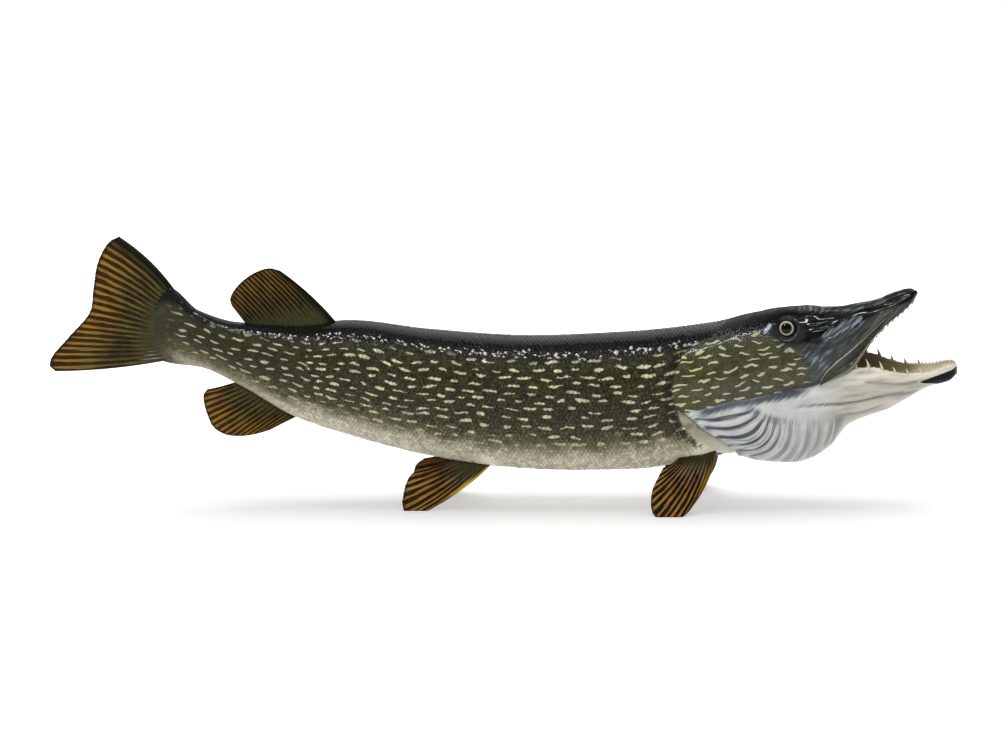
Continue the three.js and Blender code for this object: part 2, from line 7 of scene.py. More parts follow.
# %% Load the part
import bpy
import numpy as np
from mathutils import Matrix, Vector


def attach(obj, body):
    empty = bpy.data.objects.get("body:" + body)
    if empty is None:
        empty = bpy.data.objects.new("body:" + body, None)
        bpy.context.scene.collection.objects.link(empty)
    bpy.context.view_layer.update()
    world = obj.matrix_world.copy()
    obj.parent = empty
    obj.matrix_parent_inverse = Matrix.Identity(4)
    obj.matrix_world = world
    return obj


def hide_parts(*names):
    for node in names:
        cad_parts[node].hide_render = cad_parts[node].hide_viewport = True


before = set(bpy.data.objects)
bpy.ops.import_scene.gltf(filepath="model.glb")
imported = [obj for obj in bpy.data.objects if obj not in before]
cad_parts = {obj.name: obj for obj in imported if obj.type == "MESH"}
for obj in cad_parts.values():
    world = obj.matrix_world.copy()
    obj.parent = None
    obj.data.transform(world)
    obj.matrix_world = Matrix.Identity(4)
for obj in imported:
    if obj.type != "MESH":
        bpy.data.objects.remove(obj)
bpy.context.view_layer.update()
MM = 0.001
rng = np.random.default_rng(17)

# %% [markdown]
# The fish is described by a few lines, each a table of measures along X: its back, its keel, the
# widest line of its flank, the edges of both jaws, and the roof and floor of its open mouth.
# A smooth curve that never overshoots goes through each table, so a few measures are enough.

# %% Measures of the body, in millimetres
TAIL_X, GULLET_X, CORNER_X, SNOUT_X, CHIN_X = -388.0, 285.0, 350.0, 454.0, 499.0
BACK = [(-388, 214), (-378, 233), (-366, 242), (-334, 216), (-290, 202.5), (-224, 199.5),
        (-170, 204.5), (-81, 194), (30, 186.7), (139, 191.2), (227, 201), (315, 218),
        (359, 219.8), (403, 226.8), (446, 240.8), (454, 238)]
KEEL = [(-388, 180), (-378, 161), (-366, 156.5), (-334, 152.5), (-290, 132.5), (-229, 97),
        (-169, 76.5), (-86, 54.5), (-15, 42.3), (73, 37), (139, 38), (190, 43.5), (252, 54.5),
        (282, 46.8), (318, 43.5), (340, 49), (360, 62.5), (381, 88), (425, 105.8), (469, 131),
        (490, 136.8), (499, 145)]
FLANK = [(-388, 2, 196), (-378, 3.6, 198), (-366, 6.5, 197), (-334, 14.5, 184),
         (-290, 21.5, 168), (-229, 31, 150), (-169, 38.5, 141), (-86, 44.5, 127),
         (-15, 47, 116), (73, 48, 112), (139, 48, 115), (190, 48, 121), (235, 49.5, 127),
         (280, 47.5, 135), (318, 44, 143), (350, 40, 150)]
UPPER_LIP = [(350, 40, 150), (362, 38.5, 158), (375, 36.5, 164), (387, 33.5, 172),
             (398, 30, 184.5), (412, 25.5, 200.5), (424, 22.5, 210.5), (436, 18.5, 219.5),
             (448, 11.5, 229.5), (454, 1, 235)]
LOWER_LIP = [(350, 40, 150), (365, 38, 153.5), (383, 36.5, 158), (402, 34.5, 158.5),
             (426, 29.5, 152.3), (444, 25, 149), (469, 19.5, 150.3), (486, 14, 155),
             (496, 8.5, 156.5), (499, 1, 152)]
PALATE = [(285, 152), (300, 168), (350, 190), (403, 211), (430, 226), (454, 236.5)]
FLOOR = [(285, 150), (300, 133), (350, 116), (402, 122), (444, 135), (480, 148), (499, 152)]
BACK_SQUARE = [(-388, 1), (-334, 0.95), (-169, 0.86), (190, 0.84), (300, 0.8), (454, 0.8)]
KEEL_SQUARE = [(-388, 1), (-334, 0.95), (-169, 0.86), (190, 0.88), (270, 1.1), (360, 1.1),
               (499, 0.9)]


def through(rows, column=1):
    """A smooth curve through a table: cubic between rows, with the harmonic mean of the two
    neighbouring slopes at each row, so it never swings past a measure."""
    table = np.array(rows, float)
    xs, ys = table[:, 0], table[:, column]
    rise = np.diff(ys) / np.diff(xs)
    product = rise[:-1] * rise[1:]
    total = np.where(product > 0, rise[:-1] + rise[1:], 1.0)
    slope = np.concatenate([rise[:1], np.where(product > 0, 2 * product / total, 0.0), rise[-1:]])

    def value(x):
        x = np.clip(x, xs[0], xs[-1])
        i = np.clip(np.searchsorted(xs, x) - 1, 0, len(rise) - 1)
        span = xs[i + 1] - xs[i]
        t = (x - xs[i]) / span
        eased = t * t * (3 - 2 * t)
        turn = t * (1 - t) ** 2 * span * slope[i] + t * t * (t - 1) * span * slope[i + 1]
        return ys[i] * (1 - eased) + ys[i + 1] * eased + turn

    return value


back, keel, palate, mouth_floor = through(BACK), through(KEEL), through(PALATE), through(FLOOR)
flank_half, flank_level = through(FLANK, 1), through(FLANK, 2)
upper_half, upper_level = through(UPPER_LIP, 1), through(UPPER_LIP, 2)
lower_half, lower_level = through(LOWER_LIP, 1), through(LOWER_LIP, 2)
back_square, keel_square = through(BACK_SQUARE), through(KEEL_SQUARE)
print("deepest section", round(float(back(73) - keel(73)), 1), "mm")


# %% [markdown]
# A section of the fish is two arches set rim to rim: one over the back and one under the keel.
# Each is a superellipse, and its exponent makes it rounder or squarer. The same arch, set
# inside a jaw, is the roof or the floor of the mouth, and a rounded lip joins the two.

# %% Sections of the fish
HALF_STEPS = 104
LIP_STEPS = 6
LIP_WIDTH, LIP_BULGE = 5.0, 1.7
MOUTH_SQUARE = 0.9


def smooth(low, high, value):
    """0 below low, 1 above high, and an S-shaped step between."""
    t = np.clip((value - low) / (high - low), 0, 1)
    return t * t * (3 - 2 * t)


def arch(x, half, level, crown, square, steps=HALF_STEPS):
    """Rows of points from the left rim over the crown to the right rim, one row for each x:
    y = -half * sin^square and z = level + (crown - level) * cos^square of an angle."""
    x, half, level, crown, square = np.broadcast_arrays(x, half, level, crown, square)
    angle = np.linspace(-0.5, 0.5, steps + 1) * np.pi
    out = np.sign(angle) * np.abs(np.sin(angle)) ** square[:, None]
    up = np.maximum(0, np.cos(angle)) ** square[:, None]
    z = level[:, None] + (crown - level)[:, None] * up
    return np.stack([np.broadcast_to(x[:, None], z.shape), -half[:, None] * out, z], -1)


def lip(start, end, rise):
    """Points between two rims, on a half ellipse that stands rise above the line between them."""
    f = (np.arange(1, LIP_STEPS) / LIP_STEPS * np.pi)[None, :, None]
    middle, reach = (start + end)[:, None] / 2, (start - end)[:, None] / 2
    lift = np.zeros_like(middle)
    lift[..., 2] = rise[:, None]
    return middle + reach * np.cos(f) + lift * np.sin(f)


def mouth_half(x, half):
    """Half width of the mouth's inside: a lip less than the jaw's, and nothing at the gullet."""
    opened = np.sqrt(np.clip((x - GULLET_X) / (CORNER_X - GULLET_X), 0, 1))
    return (half - np.minimum(LIP_WIDTH, half / 4)) * opened


def trunk_rings(x):
    """Closed rings round the trunk and head: the back's arch, then the keel's, run backwards."""
    half, level = flank_half(x), flank_level(x)
    over = arch(x, half, level, back(x), back_square(x))
    under = arch(x, half, level, keel(x), keel_square(x))[:, ::-1]
    return np.concatenate([over, under[:, 1:-1]], 1)


def jaw_loops(x, half, level, outer_crown, square, inner_crown, way):
    """Closed loops round one jaw: its outside, a lip, the mouth's side of it, a lip."""
    outside = arch(x, half, level, outer_crown, square)
    inside = arch(x, mouth_half(x, half), level, inner_crown, MOUTH_SQUARE)[:, ::-1]
    if way > 0:
        outside, inside = outside[:, ::-1], inside[:, ::-1]
    rise = way * LIP_BULGE * smooth(CORNER_X, CORNER_X + 14, x) * np.minimum(1, half / 12)
    first, last = lip(outside[:, -1], inside[:, 0], rise), lip(inside[:, -1], outside[:, 0], rise)
    return np.concatenate([outside, first, inside, last], 1)


def upper_loops(x):
    return jaw_loops(x, upper_half(x), upper_level(x), back(x), back_square(x), palate(x), -1)


def lower_loops(x):
    return jaw_loops(x, lower_half(x), lower_level(x), keel(x), keel_square(x), mouth_floor(x), 1)


def mouth_rings(x):
    """Closed rings round the mouth behind its corner, seen from inside."""
    half, level = mouth_half(x, flank_half(x)), flank_level(x)
    roof = arch(x, half, level, palate(x), MOUTH_SQUARE)[:, ::-1]
    base = arch(x, half, level, mouth_floor(x), MOUTH_SQUARE)
    return np.concatenate([roof, base[:, 1:-1]], 1)


print("points round the trunk", trunk_rings(np.array([0.0])).shape[1])

# %% [markdown]
# Many forms follow a line drawn on the fish: the edge of the gill cover, a fin's base, a fold of
# the throat. A line is a few points joined by a smooth curve, and two helpers serve all of them:
# one spaces points evenly along the curve, and the other says how far any place is from it.

# %% Lines on the fish


def along(points, count):
    """count + 1 evenly spaced points on a centripetal Catmull-Rom curve through the points: each
    stretch is a cubic whose end slopes come from the square roots of the neighbouring lengths."""
    p = np.array(points, float)
    p = np.vstack([2 * p[0] - p[1], p, 2 * p[-1] - p[-2]])
    step = np.linalg.norm(np.diff(p, axis=0), axis=1)[:, None] ** 0.5
    before, here, after = step[:-2], step[1:-1], step[2:]
    a, b, c, d = p[:-3], p[1:-2], p[2:-1], p[3:]
    leave = ((b - a) / before - (c - a) / (before + here) + (c - b) / here) * here
    arrive = ((c - b) / here - (d - b) / (here + after) + (d - c) / after) * here
    t = np.linspace(0, 1, 33)[None, :, None]
    b, c, leave, arrive = b[:, None], c[:, None], leave[:, None], arrive[:, None]
    fine = (b + leave * t + (3 * (c - b) - 2 * leave - arrive) * t**2
            + (2 * (b - c) + leave + arrive) * t**3)
    fine = np.vstack([fine[:, :-1].reshape(-1, p.shape[1]), fine[-1, -1:]])
    length = np.concatenate([[0], np.cumsum(np.linalg.norm(np.diff(fine, axis=0), axis=1))])
    even = np.linspace(0, length[-1], count + 1)
    return np.stack([np.interp(even, length, fine[:, k]) for k in range(p.shape[1])], 1)


def near(points, x, z, count=24):
    """For places x, z: the distance to a line, the side of it (1 on its left, -1 on its right),
    and how far along it the nearest point lies, from 0 to 1."""
    line = along(points, count)
    best, side, run = np.full(x.shape, 1e9), np.zeros(x.shape), np.zeros(x.shape)
    for i, ((ax, az), (bx, bz)) in enumerate(zip(line[:-1], line[1:])):
        dx, dz = bx - ax, bz - az
        f = np.clip(((x - ax) * dx + (z - az) * dz) / (dx * dx + dz * dz), 0, 1)
        ex, ez = x - ax - f * dx, z - az - f * dz
        distance = np.hypot(ex, ez)
        closer = distance < best
        best = np.where(closer, distance, best)
        side = np.where(closer, np.sign(dx * ez - dz * ex), side)
        run = np.where(closer, (i + f) / count, run)
    return best, side, run


def fold(points, x, z, height, width):
    """A rounded ridge along a line, or a groove where height is negative: height times a bell of
    the distance over the width, fading out at both ends of the line."""
    distance, _, run = near(points, x, z)
    fade = np.sqrt(np.clip(np.sin(np.clip(run, 0.001, 0.999) * np.pi), 0, 1))
    return height * np.exp(-((distance / width) ** 2)) * fade


GILL_EDGE = [(206, 240), (200, 192), (196, 178), (185, 150), (183.5, 136), (186, 123),
             (192, 116), (203, 108), (220, 92), (234, 82), (248, 69), (258, 55), (262, 30)]
COAT_EDGE = [(268, 232), (250, 209), (228, 196), (209, 187.5), (198, 178), (190, 166), (185, 150),
             (183, 136), (185.5, 123), (189.5, 113), (192.5, 104), (196, 96), (205, 85.5), (222, 71.5),
             (238, 60), (250, 45), (254, 28)]
CHEEK_EDGE = [(184, 112), (196, 114.5), (217.6, 118.6), (247, 127), (272, 130.5), (305, 135.5),
              (331, 140.5), (347, 145), (352, 150)]
print("gill edge", round(float(np.linalg.norm(np.diff(along(GILL_EDGE, 60), axis=0), axis=1).sum())), "mm")

# %% [markdown]
# The head carries most of the modelling. The skin is moved along its own normal by a sum of small
# forms: the gill cover stands out over the trunk, the eye sits in a socket under a brow, bony
# canals and wrinkles run to the snout, and the membrane under the gill cover is folded over its
# slender rays. Each form is one line or one bell, so it can be placed and sized on its own.

# %% Relief of the head
EYE_AT = (310.2, 203.6)
GILL_LIFT = 2.2
RAYS = [
    [(266, 117.2), (245.5, 114.9), (223.5, 110.9), (205.2, 111)],
    [(274.8, 110.6), (254.3, 102.2), (235.2, 100.2), (212, 104)],
    [(280.7, 105.7), (266, 92.6), (248.4, 88.8), (227.9, 92.1)],
    [(288, 102.2), (279.2, 85.8), (260.2, 76.9), (238, 81)],
    [(293.9, 100.5), (289.5, 84), (274.8, 69.9), (248.4, 70.6)],
    [(301.2, 98.7), (296.8, 80.3), (286.6, 66.3), (263.1, 60)],
    [(308.6, 98.4), (307.1, 81.7), (298.3, 64.4), (277.8, 51)],
    [(318.8, 96.3), (317.4, 78.1), (311.5, 60.5), (296.8, 46)],
    [(330.6, 95.8), (329.1, 77.6), (324.7, 62), (314.4, 46)],
    [(342.3, 95.2), (340.8, 80.1), (336.4, 62.8), (327.6, 50)],
    [(354, 96), (352.6, 80.9), (348.2, 67), (340.8, 57)],
    [(367.2, 97.8), (364.3, 84.4), (358.4, 70)],
]
THROAT_FOLDS = [
    ([(394, 141.7), (375.7, 137.6), (352.6, 132.8), (326.2, 126.8), (299.8, 125.4)], 1.2, 3.0),
    ([(441.7, 130.4), (414.2, 124.8), (381.2, 118.8), (350.4, 118.7), (315.2, 117.8)], -1.5, 1.6),
    ([(436, 127), (409, 119), (381.2, 113.8), (350.4, 113), (318, 112)], 1.3, 3.2),
    ([(418.6, 115.1), (394.4, 105.7), (368, 103.8)], -0.9, 2.0),
    ([(367, 139), (352, 134), (334.5, 128.1)], -0.8, 1.2),
    ([(350, 144), (320, 138), (285, 128.5), (258, 121.5)], -1.6, 3.5),
]
HEAD_LINES = [
    ([(245.5, 183.2), (255.8, 161.1), (266, 143.3), (280.7, 126)], -0.55, 1.5),
    ([(250.5, 183.2), (261, 161.1), (271, 144.3), (285, 128)], 0.35, 3.0),
    ([(228, 190), (222, 170), (224, 146), (236, 128)], -0.3, 1.8),
    ([(286, 212), (298.7, 216.5), (315.2, 218), (333, 216), (352, 213.5)], 1.5, 3.2),
    ([(332.8, 208.2), (350.4, 209.9), (364, 213.5)], -1.2, 1.2),
    ([(331.7, 203.5), (352.6, 205.3), (370, 211.5)], -1.2, 1.1),
    ([(332.8, 198.6), (348.2, 201.3), (366, 207.8)], 1.1, 1.2),
    ([(342.7, 212.7), (359.2, 216.8), (384, 221.5), (420, 231)], -1.0, 1.6),
    ([(334, 189), (354.6, 194.7), (374.7, 206.2), (392.9, 215.6)], -2.2, 1.5),
    ([(337, 194), (356, 203), (376, 213.5), (398, 222.5)], 1.4, 3.4),
    ([(326, 186.2), (345, 183.1), (362, 186)], -0.8, 2.2),
    ([(292, 184), (312, 180), (330, 172), (344, 160)], -0.7, 2.5),
    ([(400, 222), (425, 229), (447, 238)], -0.7, 1.4),
    ([(404, 214.5), (424, 222), (442, 232)], 0.8, 2.0),
]


def head_relief(x, y, z):
    """How far the skin of the head stands out from its plain section, how deep the place lies in
    a crease, the height of the rays alone, and how far ahead of the gill cover's edge and of the
    scales' edge the place is. All are sums of lines and bells of the distance from the eye. The
    last two numbers count the rays, as a mean weighed by nearness, and say how near the fan is."""
    distance, side, run = near(GILL_EDGE, x, z, 48)
    ahead = side * distance
    distance, side, run = near(COAT_EDGE, x, z, 64)
    bare = side * distance
    cover = smooth(-0.5, 1.0, ahead) * np.maximum(smooth(184, 170, z), smooth(0, 14, bare))
    lift = GILL_LIFT * smooth(120, 175, x) * (1 - smooth(215, 330, x))
    rolled = 0.9 * np.exp(-(((ahead - 2.6) / 2.0) ** 2))
    behind = -1.7 * np.exp(-(((ahead + 1.6) / 2.2) ** 2)) * (1 - cover)
    out = cover * lift + (rolled * cover + behind) * smooth(186, 168, z)
    ribs, total, count = np.zeros(x.shape), np.full(x.shape, 1e-9), np.zeros(x.shape)
    for i, ray in enumerate(RAYS):
        share = np.exp(-((near(ray, x, z)[0] / 6.0) ** 2))
        total, count = total + share, count + share * i
        size = 2.0 if i < 7 else 0.8
        ribs += fold(ray, x, z, size, 3.6 if i < 7 else 2.6)
        between = [((a[0] + b[0]) / 2, (a[1] + b[1]) / 2) for a, b in zip(ray, RAYS[i - 1])]
        if i:
            ribs += fold(between, x, z, -size, 2.2 if i < 7 else 1.5)
    out += ribs
    for line, height, width in THROAT_FOLDS + HEAD_LINES:
        out += fold(line, x, z, height, width)
    eye = np.hypot(x - EYE_AT[0], z - EYE_AT[1])
    out += -4.2 * (1 - smooth(6.0, 14.5, eye))
    out += -1.2 * np.exp(-(((eye - 16) / 4.5) ** 2)) * smooth(210, 202, z)
    nostril = np.hypot((x - 338) / 1.5, (np.abs(y) - 15) / 1.0)
    pit = np.where(z > 205, 1.0, 0.0)
    out += pit * (1.3 * np.exp(-((nostril / 5.5) ** 2)) - 2.6 * np.exp(-((nostril / 1.5) ** 2)))
    middle = np.exp(-((np.abs(y) - 7.5) / 3.2) ** 2) * smooth(335, 372, x) * (1 - smooth(432, 450, x))
    out += -1.3 * middle * np.where(z > upper_level(x) + 6, 1.0, 0.0)
    # crease is how deep a place lies in a groove; the skin's finish paints it as shade.
    crease = np.clip(-out / 1.4, 0, 1) * smooth(-2, 3, ahead)
    return out, crease, ribs, ahead, bare, count / total, np.clip(total * 1.5, 0, 1)


print("lines of relief", len(RAYS) * 2 - 1 + len(THROAT_FOLDS) + len(HEAD_LINES))

# %% [markdown]
# Every piece is put into Blender by one helper: it takes the points, the faces and whatever varies
# over the surface, and fills a mesh with whole arrays. Each piece then rides on the part's body.

# %% From arrays to a mesh
SOLIDS = dict(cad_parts)


def build(name, points, faces, maps=None, fields=None, nodes=(), closed=True):
    """A smooth-shaded mesh from points in millimetres and arrays of faces. maps holds UV maps, as
    one pair for each face corner, and fields holds numbers, one for each point. A closed shape
    whose volume, the sum of its corners' triple products, is negative is turned right side out."""
    mesh = bpy.data.meshes.new(name)
    volume = sum(np.einsum("ij,ij->", points[f[:, 0]], np.cross(points[f[:, k]], points[f[:, k + 1]]))
                 for f in faces for k in range(1, f.shape[1] - 1))
    if closed and volume < 0:
        ends = np.cumsum([0] + [f.size for f in faces])
        maps = {title: np.concatenate([
            pairs[a:b].reshape(*f.shape, 2)[:, ::-1].reshape(-1, 2)
            for f, a, b in zip(faces, ends[:-1], ends[1:])]) for title, pairs in (maps or {}).items()}
        faces = [f[:, ::-1] for f in faces]
    corners = np.concatenate([f.ravel() for f in faces]).astype(np.int32)
    sizes = np.concatenate([np.full(len(f), f.shape[1]) for f in faces]).astype(np.int32)
    mesh.vertices.add(len(points))
    mesh.vertices.foreach_set("co", np.ascontiguousarray(points * MM, np.float32).ravel())
    mesh.loops.add(len(corners))
    mesh.loops.foreach_set("vertex_index", corners)
    mesh.polygons.add(len(sizes))
    mesh.polygons.foreach_set("loop_start", np.concatenate([[0], np.cumsum(sizes)[:-1]]))
    mesh.polygons.foreach_set("use_smooth", np.ones(len(sizes), bool))
    for title, pairs in (maps or {}).items():
        layer = mesh.uv_layers.new(name=title)
        layer.uv.foreach_set("vector", np.ascontiguousarray(pairs, np.float32).ravel())
    for title, values in (fields or {}).items():
        layer = mesh.attributes.new(title, "FLOAT", "POINT")
        layer.data.foreach_set("value", np.ascontiguousarray(values, np.float32))
    mesh.update(calc_edges=True)
    mesh.validate()
    piece = bpy.data.objects.new(name, mesh)
    bpy.context.scene.collection.objects.link(piece)
    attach(piece, "root")
    if nodes:
        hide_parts(*nodes)
    triangles = int((sizes - 2).sum())
    print(f"{name}: {len(points)} points, {triangles} triangles")
    return piece


def grid(rows, cols, closed, start=0):
    """Quads of a grid of points, in rows; a closed row joins its last point to its first."""
    i = np.arange(rows - 1)[:, None] * cols
    j = np.arange(cols if closed else cols - 1)[None, :]
    k = (j + 1) % cols
    return start + np.stack([i + j, i + k, i + cols + k, i + cols + j], -1).reshape(-1, 4)


def per_corner(values, closed_faces=True):
    """Spreads a (rows, columns + 1) table over the four corners of each quad of a grid."""
    a, b = values[:-1, :-1], values[:-1, 1:]
    c, d = values[1:, 1:], values[1:, :-1]
    return np.stack([a, b, c, d], -1).reshape(-1, 4)


def normals_of(points, faces):
    """Unit normals at the points: the faces' cross products, summed where the faces meet."""
    total = np.zeros_like(points)
    for f in faces:
        across = points[f[:, 2]] - points[f[:, 0]]
        other = points[f[:, -1]] - points[f[:, 1]]
        flat = np.cross(across, other)
        for k in range(f.shape[1]):
            for axis in range(3):
                total[:, axis] += np.bincount(f[:, k], flat[:, axis], len(points))
    return total / np.maximum(np.linalg.norm(total, axis=1), 1e-12)[:, None]


# %% [markdown]
# The skin is four sleeves that share their rims: the trunk and head, the inside of the mouth, and
# a loop round each jaw. Points that fall together are merged, so it is one closed surface with no
# seam. Two maps go with it: a body map, whose first number runs along the fish in steps as long as
# the half girth there and whose second runs round it from -1 through the back at 0 to 1, and a flat
# unwrap for baking.

# %% Body map
FINE_X = np.linspace(TAIL_X, CORNER_X, 739)
FINE_RINGS = trunk_rings(FINE_X)
CLOSED = np.concatenate([FINE_RINGS, FINE_RINGS[:, :1]], 1)
ARC = np.concatenate([np.zeros((len(FINE_X), 1)),
                      np.cumsum(np.linalg.norm(np.diff(CLOSED, axis=1), axis=2), 1)], 1)
HALF_GIRTH = ARC[:, -1] / 2
STRETCH = np.concatenate([[0], np.cumsum(1.0 / np.maximum(HALF_GIRTH[:-1], 60))])


def stretch(x):
    """Length along the fish in steps of the half girth; ahead of the mouth's corner it goes on at
    the head's rate."""
    rate = 1.0 / HALF_GIRTH[-1]
    return np.interp(x, FINE_X, STRETCH) + np.maximum(0, x - CORNER_X) * rate


def ring_turn(rings):
    """Where each point of closed trunk rings lies round the fish, as a part of the half girth from
    the crown, positive on the right."""
    closed = np.concatenate([rings, rings[:, :1]], 1)
    run = np.linalg.norm(np.diff(closed, axis=1), axis=2)
    arc = np.concatenate([np.zeros((len(rings), 1)), np.cumsum(run, 1)], 1)
    crown = arc[:, HALF_STEPS // 2][:, None]
    return (arc - crown) / (arc[:, -1:] / 2)


print("largest half girth", round(float(HALF_GIRTH.max())), "mm; map length", round(STRETCH[-1], 2))

# %% Skin
TRUNK_X = np.concatenate([np.linspace(-388, -330, 26)[:-1], np.linspace(-330, 175, 92)[:-1],
                          np.linspace(175, CORNER_X, 128)])
MOUTH_X = np.linspace(GULLET_X + 1.5, CORNER_X, 16)
UPPER_X = CORNER_X + (SNOUT_X - CORNER_X) * np.sin(np.linspace(0, 1, 76) * np.pi / 2)
LOWER_X = CORNER_X + (CHIN_X - CORNER_X) * np.sin(np.linspace(0, 1, 98) * np.pi / 2)
COAT_DEPTH = 0.55

loops = []
starts = [0]
for xs, rings, tip, tip_ahead, area, kind in (
    (TRUNK_X, trunk_rings(TRUNK_X), (-390, 0, 197), False, (0.01, 0.99, 0.01, 0.58), 0),
    (MOUTH_X, mouth_rings(MOUTH_X), (285, 0, 151), False, (0.88, 0.99, 0.62, 0.99), 3),
    (UPPER_X, upper_loops(UPPER_X), (454, 0, 236.5), True, (0.01, 0.38, 0.62, 0.99), 1),
    (LOWER_X, lower_loops(LOWER_X), (499, 0, 149), True, (0.40, 0.86, 0.62, 0.99), 2),
):
    rows, cols = rings.shape[:2]
    start = starts[-1]
    quads = grid(rows, cols, True, start)
    j = np.arange(cols)
    k = (j + 1) % cols
    end = start + (rows - 1) * cols if tip_ahead else start
    first, second = (j, k) if tip_ahead else (k, j)
    tip_index = start + rows * cols
    cap = np.stack([end + first, end + second, np.full(cols, tip_index)], 1)
    starts.append(tip_index + 1)
    if kind == 0:
        turn = ring_turn(rings)
        turn_cap = turn[0]
    else:
        half_way = np.linspace(-0.5, 0.5, HALF_STEPS + 1)
        turn = np.full(cols + 1, 0.5)
        turn[:HALF_STEPS + 1] = half_way if kind == 1 else np.linspace(0.5, 1.5, HALF_STEPS + 1)
        turn_cap = turn
        turn = np.broadcast_to(turn, (rows, cols + 1))
    along_map = np.broadcast_to(stretch(xs)[:, None], turn.shape)
    body = np.stack([per_corner(along_map), per_corner(turn)], -1)
    wrapped = (body[..., 1].min(1) >= 0.9999) | (body[..., 1].max(1) > 1.0001)
    body[wrapped, :, 1] -= 2
    a, b = j, j + 1
    order = (a, b) if tip_ahead else (b, a)
    body_cap = np.stack([np.full((cols, 3), stretch(xs[-1] if tip_ahead else xs[0])),
                         np.stack([turn_cap[order[0]], turn_cap[order[1]], turn_cap[a]], 1)], -1)
    body_cap[body_cap[..., 1].max(1) > 1.0001, :, 1] -= 2
    u0, u1, v0, v1 = area
    inch = np.maximum(np.diff(xs, prepend=xs[0]) * np.where(xs > 175, 1.7, 1.0), 0.35)
    inch = np.cumsum(inch)
    u = u0 + (u1 - u0) * (inch - inch[0]) / (inch[-1] - inch[0]) * 0.99 + 0.004
    v = v0 + (v1 - v0) * np.linspace(0, 1, cols + 1)
    flat = np.stack([per_corner(np.broadcast_to(u[:, None], (rows, cols + 1))),
                     per_corner(np.broadcast_to(v, (rows, cols + 1)))], -1)
    u_end, u_tip = (u[-1], u[-1] + 0.003) if tip_ahead else (u[0], u[0] - 0.003)
    flat_cap = np.stack([np.tile([u_end, u_end, u_tip], (cols, 1)),
                         np.stack([v[order[0]], v[order[1]], (v[a] + v[b]) / 2], 1)], -1)
    inside = np.zeros((rows, cols))
    if kind == 3:
        inside[:] = 1
    if kind in (1, 2):
        n = HALF_STEPS + 1
        inside[:, n:n + LIP_STEPS - 1] = np.linspace(0.1, 0.9, LIP_STEPS - 1)
        inside[:, n + LIP_STEPS - 1:2 * n + LIP_STEPS - 1] = 1
        inside[:, 2 * n + LIP_STEPS - 1:] = np.linspace(0.9, 0.1, LIP_STEPS - 1)
    loops.append(dict(
        points=np.vstack([rings.reshape(-1, 3), [tip]]), quads=quads, cap=cap,
        body=np.concatenate([body.reshape(-1, 2)]), body_cap=body_cap.reshape(-1, 2),
        flat=flat.reshape(-1, 2), flat_cap=flat_cap.reshape(-1, 2),
        inside=np.append(inside.ravel(), 1.0 if kind == 3 else 0.0),
        kind=np.full(rows * cols + 1, kind)))

points = np.vstack([s["points"] for s in loops])
_, first, merged = np.unique(np.round(points * 200).astype(np.int64), axis=0,
                             return_index=True, return_inverse=True)
merged = merged.ravel()
points = points[first]
inside = np.concatenate([s["inside"] for s in loops])[first]
kind = np.concatenate([s["kind"] for s in loops])[first]
quads = merged[np.concatenate([s["quads"] for s in loops])]
caps = merged[np.concatenate([s["cap"] for s in loops])]
normals = normals_of(points, [quads, caps])
x, y, z = points.T
out, crease, ribs, ahead, bare, fan, in_fan = head_relief(x, y, z)
outside = 1 - smooth(0.0, 0.6, inside)
in_head = smooth(-0.5, 0.8, np.where(z > 160, bare, ahead))
print("skin rings", len(TRUNK_X) + len(MOUTH_X) + len(UPPER_X) + len(LOWER_X))


def bell(x, y, z, centre, size, height):
    """A round swelling on both sides of the fish: height times a bell of the distance."""
    cx, cy, cz = centre
    distance = np.sqrt((x - cx) ** 2 + (np.abs(y) - cy) ** 2 + (z - cz) ** 2)
    return height * np.exp(-((distance / size) ** 2))


swell = bell(x, y, z, (219, 33, 56), 13, 2.6) + bell(x, y, z, (-18, 20, 53), 15, 1.5)
swell += fold([(-178, 196), (-232, 192), (-280, 196)], x, z, 1.6, 5) * smooth(14, 4, np.abs(y))
swell += fold([(-212, 104), (-250, 122), (-288, 139)], x, z, 1.6, 5) * smooth(14, 4, np.abs(y))
girdle = smooth(-1.0, 3.0, bare) * (1 - in_head) * smooth(120, 112, z)
moved = outside * (out + swell - COAT_DEPTH * (1 - smooth(-0.5, 1.5, bare)))
points = points + normals * moved[:, None]

below_d, below_side, _ = near(CHEEK_EDGE, x, z)
below = -below_d * below_side
pale = np.where(kind == 0, smooth(-4, 7, below) * smooth(-3, 1, ahead), np.where(kind == 1, 0.0, 1.0))
pale = np.where((kind == 0) & (z < 112) & (ahead > 0), 1.0, pale)
CHIN_TOP = [(452, 139.8), (460.7, 142.2), (471.4, 145.5), (483.8, 149.3), (494, 152.6), (500, 158)]
CHIN_BASE = [(448, 141), (460.4, 138.6), (472.5, 136.6), (484, 131), (490, 127)]
DARK_EDGE = [(150, 182), (200, 187), (240, 195), (270, 199.5), (288, 201), (301, 193), (313, 187),
             (326, 189), (346, 190), (368, 199.3), (388, 208.7), (405, 216.4), (424, 224), (454, 234)]
dark_d, dark_side, _ = near(DARK_EDGE, x, z)
dark = smooth(-8, 8, dark_d * dark_side)
chin_d, chin_side, _ = near(CHIN_TOP, x, z)
chin_low, low_side, _ = near(CHIN_BASE, x, z)
chin = np.where(kind == 2, smooth(0.8, -0.8, chin_d * chin_side) * smooth(-1.0, 1.0, chin_low * low_side)
                * smooth(450, 464, x), 0.0)
# A bluish patch on the front cheek and a band along the cheek's lower edge. On the cheek the finish paints them
# bluish grey with pale streaks, a painted sheen; on the pale throat it paints the band dark bluish, painted shade
# under the cheek's edge.
blue = np.exp(-((np.hypot((x - 346) / 1.3, z - 172) / 15) ** 2))
band = np.exp(-(((below - 4) / np.where(below < 4, 5.0, 8.0)) ** 2))
band = band * smooth(190, 225, x) * smooth(354, 318, x)
blue = np.maximum(blue, band)
olive = np.exp(-((near([(369, 168), (383, 181), (400, 199), (412, 214), (424, 224)], x, z)[0] / 3.2) ** 2))
